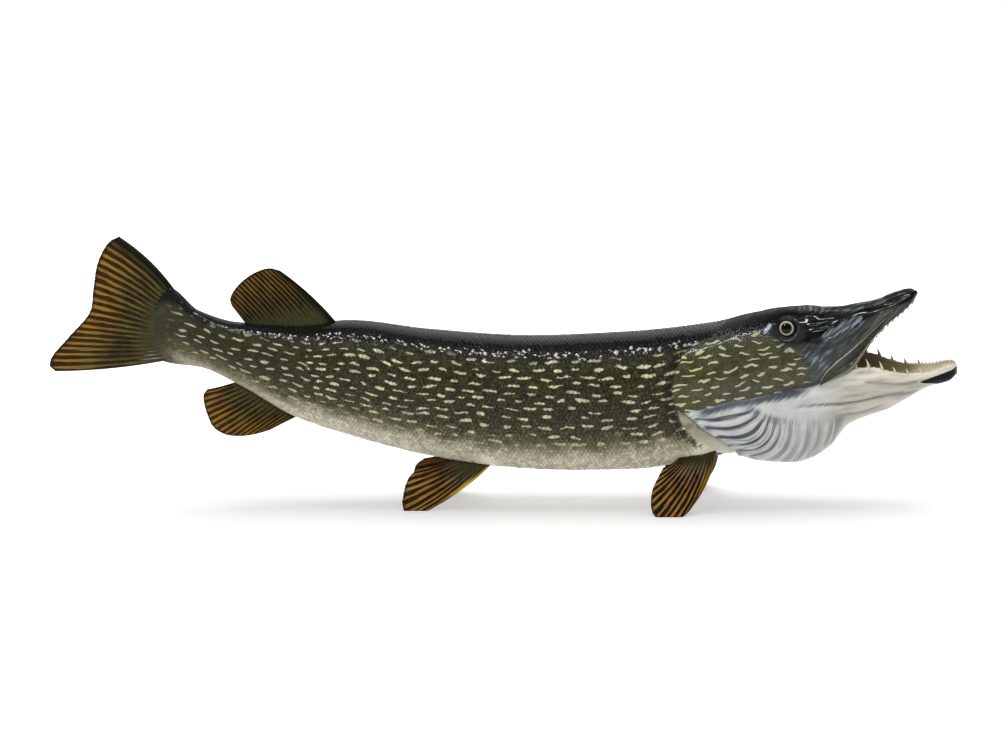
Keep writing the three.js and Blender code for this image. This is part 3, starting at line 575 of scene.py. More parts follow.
# The glint band just below the dark crown: the finish paints pale speckles in it as glints, darkens its ground a
# little and breaks up its gloss.
frost = np.exp(-(((dark_d * dark_side + 3) / 7.0) ** 2)) * smooth(302, 286, x) * smooth(190, 205, x)
silver = np.exp(-((near([(352, 195), (370, 203.5), (389, 212)], x, z)[0] / 5.5) ** 2)) * outside
# A painted highlight: a small pale wedge just behind the eye, where the lacquer would catch a lamp.
wedge = smooth(2.2, 1.2, near([(286, 200), (291.5, 206)], x, z)[0])
rust = np.exp(-((near([(398, 143.5), (414, 142), (431, 140), (453, 141)], x, z)[0] / 1.5) ** 2))
# The eye socket, the recess round the glass eye: the finish paints it near black as shade and takes most of its gloss
# away.
socket = 1 - smooth(9.5, 17, np.hypot(x - EYE_AT[0], z - EYE_AT[1]))
# Painted shadow: a dark line just behind the gill cover's edge, where the cover stands over the trunk. It is added to
# the crease field.
gill_shade = np.exp(-(((ahead + 0.2) / 1.5) ** 2)) * smooth(190, 175, z)

skin = build(
    "skin", points, [quads, caps],
    maps={"BodyMap": np.concatenate([s["body"] for s in loops] + [s["body_cap"] for s in loops]),
          "OFBake": np.concatenate([s["flat"] for s in loops] + [s["flat_cap"] for s in loops])},
    fields=dict(inside=inside, head=in_head * outside, pale=pale, dark=dark, chin=chin, blue=blue,
                silver=silver, socket=socket * outside,
                crease=np.clip(crease + 0.8 * gill_shade, 0, 1) * outside,
                upper=(kind == 1) * 1.0, girdle=girdle,
                rib=np.clip(0.5 + ribs / 2.8, 0, 1), jaw=smooth(340, 385, x) * (kind != 1),
                fan=fan, in_fan=in_fan, snout=smooth(-16, 18, x - 330 + (z - 165) * 0.45) * (kind < 2), olive=olive,
                frost=frost * outside, wedge=wedge, rust=rust * outside),
    nodes=["tail_stalk", "trunk_rear", "trunk_middle", "trunk_front", "skull",
           "gill_cover_right", "gill_cover_left", "throat", "lower_jaw"])

# %% [markdown]
# A pike's scales are small, in slanting rows, and overlap towards the tail. Each one here is a
# thin shield on the skin: sunk at its root, proud at its round free edge, with a short wall down
# to the scale under it. The rows keep their number while the body narrows, and the columns close
# up by the same amount, so the scales shrink towards the tail and stay as wide as they are long.

# %% Scales
ROWS = 44
SCALE_X0, SCALE_X1 = -383.0, 268.0
PITCH = 1.02 / ROWS
LONG, WIDE = 1.75, 1.12


def surface(x, turn, rise):
    """The place at x and turn on the trunk's section, moved out by rise: read off a fine table of
    the sections by arc length, with the outward direction from the table's own slopes."""
    table_x = FINE_X[::2]
    i = np.clip((x - table_x[0]) / (table_x[1] - table_x[0]), 0, len(table_x) - 1.001)
    folded = np.abs((turn + 1) % 2 - 1)
    way = np.where(((turn + 1) % 2 - 1) < 0, 1.0, -1.0)
    j = np.clip(folded * (TURNS - 1), 0, TURNS - 1.001)
    a, b = i.astype(int), j.astype(int)
    f, g = (i - a)[..., None], (j - b)[..., None]

    def read(table):
        low = table[a, b] * (1 - g) + table[a, b + 1] * g
        high = table[a + 1, b] * (1 - g) + table[a + 1, b + 1] * g
        return low * (1 - f) + high * f

    spot = read(HALF_TABLE) + read(HALF_NORMALS) * np.asarray(rise)[..., None]
    spot[..., 1] *= way
    return spot


TURNS = 241
table_rings = FINE_RINGS[::2, HALF_STEPS // 2:HALF_STEPS // 2 + HALF_STEPS + 1]
run = np.linalg.norm(np.diff(table_rings, axis=1), axis=2)
run = np.concatenate([np.zeros((len(run), 1)), np.cumsum(run, 1)], 1)
want = np.linspace(0, 1, TURNS)[None, :] * run[:, -1:]
HALF_TABLE = np.stack([np.stack([np.interp(w, r, ring[:, k]) for k in range(3)], -1)
                       for w, r, ring in zip(want, run, table_rings)])
HALF_TABLE[..., 1] *= -1
slope_x = np.gradient(HALF_TABLE, axis=0)
slope_t = np.gradient(HALF_TABLE, axis=1)
HALF_NORMALS = np.cross(slope_t, slope_x)
HALF_NORMALS /= np.maximum(np.linalg.norm(HALF_NORMALS, axis=2), 1e-9)[..., None]
facing = np.sign((HALF_NORMALS[..., 1] * HALF_TABLE[..., 1]).sum())
HALF_NORMALS *= facing
print("scale pitch", round(PITCH * float(np.median(HALF_GIRTH)), 2), "mm, outward", facing)


def coat(name, way, seed):
    """The scales of one side, all as one array of small grids: four rows from the sunk root over
    the plate to the free edge and down its wall, and five points across."""
    chance = np.random.default_rng(seed)
    s0, s1 = stretch(SCALE_X0), stretch(SCALE_X1)
    columns = int((s1 - s0) / PITCH)
    c, r = np.meshgrid(np.arange(columns), np.arange(ROWS), indexing="ij")
    jolt = chance.normal(0, 0.035, (2, columns, ROWS))
    s = s0 + (c + 0.5 * (r % 2) + 1 + jolt[0]) * PITCH
    t = (r + 0.5 + jolt[1]) * PITCH
    s, t = s.ravel(), t.ravel()
    root_x = np.interp(s, STRETCH, FINE_X)
    root = surface(root_x, t, np.zeros(len(s)))
    distance, side, _ = near(COAT_EDGE, root[:, 0], root[:, 2], 64)
    kept = distance * side < 2.6
    # under is a painted shadow: scales just behind the gill cover's edge, where the cover overhangs them, are
    # darkened in the finish.
    under = np.exp(-(((distance + 0.5) / 3.0) ** 2)) * smooth(188, 178, root[:, 2])
    s, t, root_x, under = s[kept], t[kept], root_x[kept], under[kept]
    size = np.clip(np.interp(root_x, FINE_X, HALF_GIRTH) / 190, 0.35, 1.1)
    vary = chance.uniform(0.9, 1.1, len(s))
    p = np.array([0, 0.8, 1, 0.985])[None, :, None]
    q = np.linspace(-1, 1, 5)[None, None, :]
    spread = np.array([0.86, 0.98, 0.74, 0.74])[None, :, None]
    long = PITCH * LONG * vary[:, None, None]
    at_s = s[:, None, None] - long * p * (1 - 0.27 * q**2)
    at_t = t[:, None, None] + PITCH * WIDE * 0.62 * q * spread
    tilt = chance.normal(0, 0.13, len(s))[:, None, None]
    roll = chance.normal(0, 0.20, len(s))[:, None, None] * np.array([0, 1, 1, 1])[None, :, None] * q
    calm = (0.12 + 0.88 * smooth(0.09, 0.19, t))[:, None, None]
    rise = np.array([-0.85, 0.1, 0.24, -0.75])[None, :, None]
    dome = np.array([0.0, 0.2, 0.16, 0.0])[None, :, None] * (1 - q**2)
    lively = dome + tilt * np.array([0, 0.4, 1, 0])[None, :, None] + roll + np.maximum(rise, 0)
    rise = (np.minimum(rise, 0) + lively * calm) * size[:, None, None]
    at_x = np.interp(at_s, STRETCH, FINE_X)
    points = surface(at_x, way * at_t, np.broadcast_to(rise, at_x.shape)).reshape(-1, 3)
    one = grid(4, 5, False)
    if way > 0:
        one = one[:, ::-1]
    quads = (np.arange(len(s))[:, None, None] * 20 + one).reshape(-1, 4)
    flat = quads.ravel()
    u = 0.01 + 0.98 * (s - s0) / (s1 - s0 + PITCH)
    v = 0.01 + 0.96 * t
    local_p, local_q = np.broadcast_to(p, at_x.shape), np.broadcast_to(q, at_x.shape)
    bake = np.stack([u[:, None, None] - 0.003 * (local_p - 0.5), v[:, None, None] + 0.0015 * local_q], -1)
    mark_s, mark_t = at_s * 0.7 + (s * 0.3)[:, None, None], at_t * 0.7 + (t * 0.3)[:, None, None]
    body = np.stack([mark_s - 0.25 * PITCH, way * mark_t], -1).reshape(-1, 2)
    plate = np.stack([local_p, local_q * 0.5 + 0.5], -1).reshape(-1, 2)
    return build(name, points, [quads], closed=False,
                 maps={"BodyMap": body[flat], "ScaleMap": plate[flat],
                       "OFBake": bake.reshape(-1, 2)[flat]},
                 fields=dict(chance=np.repeat(chance.uniform(0, 1, len(s)), 20),
                             under=np.repeat(under, 20)))


coats = [coat("scales_right", 1.0, 5), coat("scales_left", -1.0, 6)]

# %% [markdown]
# A fin is a thin web on bony rays that leave its base like the ribs of a fan. It is one closed
# plate over a grid: one number runs from ray to ray and the other from base to margin. The plate
# is thicker over each ray, the rays fork past their middle, and the margin draws in between them.
# The paired fins lean out and are flat where they stand on the floor.

# %% Fins
FIN_POINTS = 44


def side_half(x, z):
    """Half width of the fish at x and height z, from the arch's own formula turned round."""
    over = z > flank_level(x)
    crown = np.where(over, back(x), keel(x))
    square = np.where(over, back_square(x), keel_square(x))
    up = np.clip((z - flank_level(x)) / (crown - flank_level(x)), 0, 1) ** (1 / square)
    return flank_half(x) * np.sqrt(1 - up * up) ** square


def fin(node, base, edge, half, bow, rays, place, flesh=1.2, wave=0.0):
    """A rayed plate. A place on it lies r of the way from base to edge, pushed sideways by a
    parabola of r for the bow of the outer rays. Half its thickness falls from root to margin with
    r^0.7 and swings with the cosine of the ray count."""
    steps = rays * 9
    s = np.linspace(0, 1, steps + 1)
    r = np.linspace(0, 1, FIN_POINTS) ** 0.9
    root, rim = along(base, steps)[:, None], along(edge, steps)[:, None]
    ray = (rim - root) / np.linalg.norm(rim - root, axis=2, keepdims=True)
    turn = 2 * np.pi * rays * s[:, None]
    fork = smooth(0.35, 0.75, r)[None, :]
    ridge = (0.5 + 0.5 * np.cos(turn)) * (1 - 0.5 * fork) + (0.5 + 0.5 * np.cos(2 * turn)) * 0.5 * fork
    pull = r[None, :] * (1 - 0.006 * (1 - ridge) * smooth(0.75, 1, r)[None, :])
    bowed = 4 * pull * (1 - pull) * (bow[0] * (1 - s[:, None]) - bow[1] * s[:, None])
    spot = root + (rim - root) * pull[..., None]
    spot = spot + np.stack([ray[..., 1] * bowed, -ray[..., 0] * bowed], -1)
    thick = half[0] + (half[1] - half[0]) * r[None, :] ** 0.7
    thick = thick * (0.5 + 0.55 * ridge ** 1.5) + flesh * np.exp(-((r[None, :] / 0.16) ** 2))
    ends = np.sqrt(np.clip(1 - (1 - np.minimum(s, 1 - s) / 0.018) ** 2, 0, 1) * (s > 0) * (s < 1) + (
        (np.minimum(s, 1 - s) >= 0.018) * 1.0))
    ends = np.where(np.minimum(s, 1 - s) >= 0.018, 1.0, ends)
    thick = thick * np.maximum(ends, 0.05)[:, None] * np.where(r > 0.985, 0.45, 1.0)[None, :]
    bend = wave * np.sin(s * 7)[:, None] * r[None, :] ** 2
    near_side = place(spot[..., 0], spot[..., 1], bend - thick)
    far_side = place(spot[..., 0], spot[..., 1], bend + thick)
    rings = np.concatenate([near_side, far_side[:, ::-1]], 1)
    rings[..., 2] = np.maximum(rings[..., 2], 0)
    rows, cols = rings.shape[:2]
    quads = grid(rows, cols, True)
    k = np.arange(FIN_POINTS - 1)
    ends = [np.stack([o + k, o + k + 1, o + cols - 2 - k, o + cols - 1 - k], 1)[:, ::way]
            for o, way in ((0, 1), ((rows - 1) * cols, -1))]
    faces = np.concatenate([quads] + ends)
    r_ring = np.concatenate([r, r[::-1], r[:1]])
    lane = np.concatenate([r * 0.48, 1 - r[::-1] * 0.48, [1.0]])
    spread = np.broadcast_to(s[:, None] * rays, (rows, cols + 1))
    fin_map = np.stack([per_corner(spread), per_corner(np.broadcast_to(r_ring, (rows, cols + 1)))], -1)
    bake = np.stack([per_corner(np.broadcast_to(s[:, None] * 0.98 + 0.01, (rows, cols + 1))),
                     per_corner(np.broadcast_to(lane * 0.98 + 0.01, (rows, cols + 1)))], -1)
    cap_map = [np.stack([np.full((len(e), 4), at * rays), np.stack([r[k], r[k + 1], r[k + 1], r[k]], 1)], -1)
               for e, at in zip(ends, (0.0, 1.0))]
    cap_bake = [np.stack([np.full((len(e), 4), 0.006 + 0.988 * at),
                          np.stack([r[k], r[k + 1], r[k + 1], r[k]], 1) * 0.47 + 0.01], -1)
                for e, at in zip(ends, (0.0, 1.0))]
    return build("rayed_" + node, rings.reshape(-1, 3), [faces],
                 maps={"FinMap": np.concatenate([fin_map] + cap_map).reshape(-1, 2),
                       "OFBake": np.concatenate([bake] + cap_bake).reshape(-1, 2)},
                 nodes=[node])


def upright(x, z, off):
    """On the middle plane: off is the distance from it."""
    x, z, off = np.broadcast_arrays(x, z, off)
    return np.stack([x, off, z], -1)


def leaning(side, lean, swing, base_z, way):
    """In a plane that leans out, side from the middle at the floor: a paired fin's place."""
    tilt = np.arctan(lean)

    def place(x, z, off):
        x, z, off = np.broadcast_arrays(x, z, off)
        forward = x + (swing if way > 0 else 0) * (1 - z / base_z)
        return np.stack([forward, way * (side - lean * z + off * np.cos(tilt)),
                         z + off * np.sin(tilt)], -1)

    return place


TAIL = dict(base=[(-352, 226), (-376, 203), (-368, 160)],
            edge=[(-421, 300), (-432, 293.5), (-444.5, 271), (-450, 240), (-454, 215), (-478, 186),
                  (-497.5, 162), (-498.9, 153), (-493, 147)], half=(2.1, 0.7), bow=(6, 3), rays=21)
DORSAL = dict(base=[(-178, 196), (-232, 190), (-276, 192)],
              edge=[(-245, 261.5), (-257, 264), (-272, 259.5), (-286, 250), (-295, 240),
                    (-300, 229), (-298, 221)], half=(2.4, 0.7), bow=(3.5, 0), rays=18)
ANAL = dict(base=[(-212, 104), (-250, 124), (-284, 139)],
            edge=[(-258, 80), (-275, 75), (-293, 73), (-309, 76), (-320, 84), (-326, 97),
                  (-330, 112), (-330, 121), (-326, 126.5)], half=(2.4, 0.7), bow=(0, 1), rays=16)
PECTORAL = dict(base=[(235, 70), (216, 65), (199, 62)],
                edge=[(210, 13), (202, 4), (193, -1.5), (180, -1.8), (168, -1.5), (162.5, 6),
                      (161.5, 14), (163.5, 26), (170, 38), (175.5, 47)],
                half=(3, 1.1), bow=(-5, 2), rays=13)
PELVIC = dict(base=[(0, 60), (-22, 58), (-40, 58)],
              edge=[(-74, 8), (-80, 2), (-87, -1.5), (-98, -1.8), (-108, -1.5), (-111.5, 6),
                    (-110.5, 15), (-108, 25), (-103, 34), (-92, 42.5)],
              half=(2.8, 1.1), bow=(-6, 2), rays=11)
fins = [
    fin("caudal_fin", place=upright, wave=0.8, **TAIL),
    fin("dorsal_fin", place=upright, wave=0.6, **DORSAL),
    fin("anal_fin", place=upright, wave=0.6, **ANAL),
    fin("pectoral_fin_right", place=leaning(68, 0.704, 25, 70, -1), **PECTORAL),
    fin("pectoral_fin_left", place=leaning(68, 0.704, 25, 70, 1), **PECTORAL),
    fin("pelvic_fin_right", place=leaning(43, 0.575, 15, 60, -1), **PELVIC),
    fin("pelvic_fin_left", place=leaning(43, 0.575, 15, 60, 1), **PELVIC),
]

# %% [markdown]
# The eye is glass: a flattened ball set into the cheek, tilted a little up and forward. Its own map
# gives the distance from the middle of the pupil and the turn round it, so the rings of colour are
# drawn where they belong on both sides.

# %% Eyes
EYE = dict(radius=10.1, depth=7.4, sunk=3.4, up=np.radians(10), ahead=np.radians(-9))


def eye(node, way):
    """An ellipsoid in rings from its front pole to its back pole: radius * sin and depth * cos of
    the angle from the front, with the front turned up and forward."""
    theta = np.linspace(0, np.pi, 40)[1:-1]
    phi = np.linspace(0, 2 * np.pi, 65)[:-1]
    flat_x = EYE["radius"] * np.sin(theta)[:, None] * np.cos(phi)
    flat_z = EYE["radius"] * np.sin(theta)[:, None] * np.sin(phi)
    out = np.broadcast_to(EYE["depth"] * np.cos(theta)[:, None], flat_x.shape)
    ball = np.stack([flat_x, out, flat_z], -1).reshape(-1, 3)
    ball = np.vstack([ball, [[0, EYE["depth"], 0], [0, -EYE["depth"], 0]]])
    cu, su, ca, sa = np.cos(EYE["up"]), np.sin(EYE["up"]), np.cos(EYE["ahead"]), np.sin(EYE["ahead"])
    y1, z1 = ball[:, 1] * cu - ball[:, 2] * su, ball[:, 1] * su + ball[:, 2] * cu
    x2, y2 = ball[:, 0] * ca + y1 * sa, -ball[:, 0] * sa + y1 * ca
    centre = float(side_half(np.array(EYE_AT[0]), np.array(EYE_AT[1]))) - EYE["sunk"]
    points = np.stack([EYE_AT[0] + x2, way * (centre + y2), EYE_AT[1] + z1], 1)
    rows, cols = len(theta), len(phi)
    j, k = np.arange(cols), (np.arange(cols) + 1) % cols
    front = np.stack([k, j, np.full(cols, rows * cols)], 1)
    rear = np.stack([(rows - 1) * cols + j, (rows - 1) * cols + k, np.full(cols, rows * cols + 1)], 1)
    quads = grid(rows, cols, True)
    seen = np.where(theta < np.pi / 2, np.sin(theta), 2 - np.sin(theta))
    turn = np.linspace(0, 1, cols + 1)
    rings = np.stack([per_corner(np.broadcast_to(seen[:, None], (rows, cols + 1))),
                      per_corner(np.broadcast_to(turn, (rows, cols + 1)))], -1).reshape(-1, 2)
    caps = [np.stack([np.tile([seen[e], seen[e], p], (cols, 1)),
                      np.stack([turn[1:], turn[:-1], turn[:-1]] if p == 0 else
                               [turn[:-1], turn[1:], turn[:-1]], 1)], -1).reshape(-1, 2)
            for e, p in ((0, 0.0), (-1, 2.0))]
    maps = np.concatenate([rings] + caps)
    return build("glass_" + node, points, [quads, front, rear], nodes=[node],
                 maps={"EyeMap": maps, "OFBake": maps * [0.49, 0.98] + 0.01})


eyes = [eye("eye_right", -1), eye("eye_left", 1)]

# %% [markdown]
# The maxilla is the long plate that hangs beside the mouth. It lies on the cheek and follows it,
# with a rolled rim and a few long creases. The tongue is a low pad on the floor of the mouth.

# %% Maxillae and tongue
MAXILLA_REAR = [(345, 143.5), (352, 157), (365, 170), (383, 184), (402, 200), (418, 214)]
MAXILLA_FRONT = [(347, 142.5), (365, 149.5), (379, 156), (389, 168.5), (399, 184), (420, 209)]


def cheek(x, z):
    """Half width of the outside of the fish at x and z, over the cheek and both jaws."""
    lip_level = np.where(x > CORNER_X, upper_level(x), flank_level(x))
    over = z > lip_level
    half = np.where(x > CORNER_X, upper_half(x), flank_half(x))
    crown = np.where(over, back(x), lip_level + 1)
    up = np.clip((z - lip_level) / np.where(over, crown - lip_level, 1), 0, 1) ** (1 / back_square(x))
    upper = half * np.sqrt(1 - up * up) ** back_square(x)
    under = np.clip((lower_level(x) - z) / (lower_level(x) - keel(x)), 0, 1) ** (1 / keel_square(x))
    lower = lower_half(x) * np.sqrt(1 - under * under) ** keel_square(x)
    widest = np.where(over, upper, np.maximum(half, lower))
    return np.where(x > CORNER_X, widest, side_half(x, z))


def pad_maps(rows, cols):
    """A map over a closed sleeve: along it, and round it, for its own pattern and for baking."""
    run = np.broadcast_to(np.linspace(0, 1, rows)[:, None], (rows, cols + 1))
    turn = np.broadcast_to(np.linspace(0, 1, cols + 1), (rows, cols + 1))
    return np.stack([per_corner(run), per_corner(turn)], -1).reshape(-1, 2)


def sleeve_caps(rows, cols):
    """Strips of quads that close both ends of a flat sleeve, side to side."""
    k = np.arange(cols // 2 - 1)
    first = np.stack([k, k + 1, cols - 2 - k, cols - 1 - k], 1)
    return np.concatenate([first, (rows - 1) * cols + first[:, ::-1]])


def maxilla(node, way):
    """A plate between two lines on the cheek: it stands out by a dome across its width, a rolled
    rim at both edges and long creases, and its inner sheet is sunk in the cheek."""
    rows, across = 90, 34
    rear, front = along(MAXILLA_REAR, rows - 1)[:, None], along(MAXILLA_FRONT, rows - 1)[:, None]
    f = np.linspace(0, 1, across)[None, :, None]
    spot = rear + (front - rear) * f
    f, run = f[..., 0], np.linspace(0, 1, rows)[:, None]
    swell = 1 - 0.75 * (2 * f - 1) ** 4
    rim = np.exp(-((f - 0.07) / 0.05) ** 2) + 0.8 * np.exp(-((f - 0.93) / 0.06) ** 2)
    drift = f + 0.06 * np.sin(run * 5)
    crease = sum(np.exp(-((drift - at) / 0.05) ** 2) for at in (0.3, 0.46, 0.66))
    body = np.sin(np.clip(run * 1.15, 0, 1) * np.pi) ** 0.5
    rise = 0.4 + 2.2 * swell + 0.8 * rim - 0.75 * crease * body
    rise = rise * np.minimum(1, (1 - run) / 0.12 + 0.25)
    level = cheek(spot[..., 0], spot[..., 1])
    outer = np.stack([spot[..., 0], way * (level + rise), spot[..., 1]], -1)
    inner = np.stack([spot[..., 0], way * (level - 1.2), spot[..., 1]], -1)
    rings = np.concatenate([outer, inner[:, ::-1]], 1)
    cols = rings.shape[1]
    maps = pad_maps(rows, cols)
    quads = np.concatenate([grid(rows, cols, True), sleeve_caps(rows, cols)])
    extra = np.tile([0.5, 0.99], ((len(quads) * 4 - len(maps)), 1))
    maps = np.concatenate([maps, extra])
    return build("plate_" + node, rings.reshape(-1, 3), [quads], nodes=[node],
                 maps={"PlateMap": maps, "OFBake": maps * 0.98 + 0.01})


maxillae = [maxilla("maxilla_right", -1), maxilla("maxilla_left", 1)]


def tongue():
    """Rings along the tongue: an ellipse each, narrowing to the tip, lying on the mouth's floor,
    with a groove along its middle."""
    run = np.linspace(0, 1, 60)
    x = 322 + 124 * run
    half = 11 * np.sqrt(np.maximum(0.02, 1 - run**3))
    rest = mouth_floor(x) + (half / mouth_half(x, lower_half(x))) ** 2 * 5 - 0.4
    angle = np.linspace(0, 2 * np.pi, 41)[:-1]
    tall = 6.6 * (1 - run / 2) * np.minimum(1, (1 - run) * 12 + 0.2)
    y = half[:, None] * np.cos(angle)
    groove = 0.9 * np.exp(-((y / 2.2) ** 2)) * (np.sin(angle) > 0)
    z = rest[:, None] + tall[:, None] * (1 + np.sin(angle)) / 2 - groove
    rings = np.stack([np.broadcast_to(x[:, None], z.shape), y, z], -1)
    rows, cols = z.shape
    quads = np.concatenate([grid(rows, cols, True), sleeve_caps(rows, cols)])
    maps = pad_maps(rows, cols)
    maps = np.concatenate([maps, np.tile([0.5, 0.5], (len(quads) * 4 - len(maps), 1))])
    return build("tongue_pad", rings.reshape(-1, 3), [quads], nodes=["tongue"],
                 maps={"OFBake": maps * 0.98 + 0.01})


tongue_piece = tongue()

# %% [markdown]
# Pike teeth are curved cones that lean back towards the gullet: a spaced row of large ones along
# the lower jaw, small ones near its tip and along the upper jaw, and bands of very small ones on
# the palate. They are made as arrays too, a few rings of six points each, and joined.

# %% Teeth


def teeth(name, roots, lean, heights, slot):
    """Curved cones: each ring lies up the tooth by its share of the height, drifts back towards
    the gullet with the square of that share, and shrinks to a point at the tip."""
    count = len(roots)
    f = np.array([-0.25, 0.0, 0.35, 0.7, 1.0])[None, :, None]
    angle = np.linspace(0, 2 * np.pi, 7)[:-1][None, None, :]
    radius = (0.17 * heights + 0.25)[:, None, None] * np.array([1.15, 1.0, 0.72, 0.4, 0.04])[None, :, None]
    rise = heights[:, None, None] * f
    drift = heights[:, None, None] * np.maximum(f, 0) ** 2 * 0.35
    x = roots[:, 0, None, None] + radius * np.cos(angle) * 1.15 + drift * lean[:, 0, None, None]
    y = roots[:, 1, None, None] + radius * np.sin(angle) * 0.9 + drift * lean[:, 1, None, None]
    z = roots[:, 2, None, None] + rise * lean[:, 2, None, None] + 0 * angle
    points = np.stack([x, y, z], -1).reshape(-1, 3)
    sides = grid(5, 6, True)
    caps = np.array([[0, 1, 2], [0, 2, 3], [0, 3, 4], [0, 4, 5],
                     [24, 26, 25], [24, 27, 26], [24, 28, 27], [24, 29, 28]])
    at = np.arange(count)[:, None, None] * 30
    quads, ends = (at + sides).reshape(-1, 4), (at + caps).reshape(-1, 3)
    down = np.repeat(lean[:, 2] > 0, len(sides))
    quads[down] = quads[down][:, ::-1]
    down = np.repeat(lean[:, 2] > 0, len(caps))
    ends[down] = ends[down][:, ::-1]
    corner = np.concatenate([quads.ravel(), ends.ravel()])
    tooth, level = corner // 30, (corner % 30) // 6
    side = 1.0 / np.ceil(np.sqrt(count))
    maps = np.stack([(tooth % int(1 / side)) * side + side * 0.2 + side * 0.5 * (corner % 6) / 6,
                     (tooth // int(1 / side)) * side + side * (0.15 + 0.17 * level)], 1)
    return build(name, points, [quads, ends], maps={"OFBake": maps},
                 fields=dict(tip=np.tile(np.repeat([0, 0, 0.35, 0.7, 1.0], 6), count)),
                 closed=False)


def jaw_row(first, last, count, high, low, half, level, up, inset=1.9, jolt=0.4):
    """Roots and heights of one row on both sides of a jaw, just inside its lip."""
    x = np.linspace(first, last, count) + rng.uniform(-1, 1, count) * jolt
    rows = []
    for way in (-1, 1):
        root = np.stack([x, way * np.maximum(half(x) - inset, 0.6), level(x)], 1)
        lean = np.stack([np.full(count, -1.0), np.full(count, -0.35 * way), np.full(count, up)], 1)
        rows.append((root, lean, np.linspace(high, low, count) * rng.uniform(0.85, 1.12, count)))
    return [np.concatenate([r[k] for r in rows]) for k in range(3)]


def gather(*rows):
    return [np.concatenate([r[k] for r in rows]) for k in range(3)]


lower_rows = gather(
    jaw_row(386, 458, 6, 11.0, 7.0, lower_half, lambda v: lower_level(v) + 0.6, 1.0),
    jaw_row(378, 460, 13, 2.2, 2.6, lower_half, lambda v: lower_level(v) + 1.0, 1.0, jolt=2.0),
    jaw_row(462, 493, 9, 4.2, 3.2, lower_half, lambda v: lower_level(v) + 0.6, 1.0, inset=1.5),
    jaw_row(470, 496, 8, 2.0, 1.8, lower_half, lambda v: lower_level(v) + 0.4, 1.0, inset=3.5))
upper_rows = gather(
    jaw_row(394, 449, 11, 7.2, 6.2, upper_half, lambda v: upper_level(v) - 0.8, -1.0, inset=1.6),
    jaw_row(376, 451, 22, 1.7, 2.0, upper_half, lambda v: upper_level(v) - 0.8, -1.0, inset=1.3, jolt=1))
palate_count = 150
px = rng.uniform(372, 446, palate_count)
share = np.sign(rng.uniform(-1, 1, palate_count)) * rng.uniform(0.35, 0.72, palate_count)
ph = mouth_half(px, upper_half(px))
pc = np.sqrt(1 - np.abs(share) ** (2 / MOUTH_SQUARE)) ** MOUTH_SQUARE
palate_rows = [np.stack([px, share * ph, upper_level(px) + (palate(px) - upper_level(px)) * pc + 0.3], 1),
               np.tile([-1.0, 0.0, -1.0], (palate_count, 1)), rng.uniform(1.4, 3.0, palate_count)]
tooth_pieces = [teeth("teeth_lower", *lower_rows, "lacquered_throat_skin"),
                teeth("teeth_upper", *upper_rows, "lacquered_head_skin"),
                teeth("teeth_palate", *palate_rows, "mouth_lining")]

# %% [markdown]
# Finishes are node trees, but their maths reads better as sums and products. A small class wraps a
# socket so that Python's own operators add the Math nodes, and one method adds any other node.

# %% Shader maths


class Value:
    """A number that varies over a surface: a socket, with arithmetic."""

    def __init__(self, finish, socket):
        self.finish, self.socket = finish, socket

    def maths(self, operation, *others):
        return self.finish.node("ShaderNodeMath", dict(operation=operation),
                                dict(enumerate([self, *others])))

    def __add__(self, other): return self.maths("ADD", other)
    def __radd__(self, other): return self.maths("ADD", other)
    def __sub__(self, other): return self.maths("SUBTRACT", other)
    def __mul__(self, other): return self.maths("MULTIPLY", other)
    def __rmul__(self, other): return self.maths("MULTIPLY", other)
    def __truediv__(self, other): return self.maths("DIVIDE", other)
    def __pow__(self, other): return self.maths("POWER", other)
    def __abs__(self): return self.maths("ABSOLUTE")

    def __rsub__(self, other):
        return self.finish.node("ShaderNodeMath", dict(operation="SUBTRACT"), {0: other, 1: self})

    def floor(self): return self.maths("FLOOR")
    def sine(self): return self.maths("SINE")
    def larger(self, other): return self.maths("MAXIMUM", other)
    def smaller(self, other): return self.maths("MINIMUM", other)

    def step(self, low, high):
        """An S-shaped step from 0 at low to 1 at high, held outside them."""
        return self.finish.node("ShaderNodeMapRange", dict(interpolation_type="SMOOTHSTEP"),
                                {"Value": self, "From Min": low, "From Max": high})


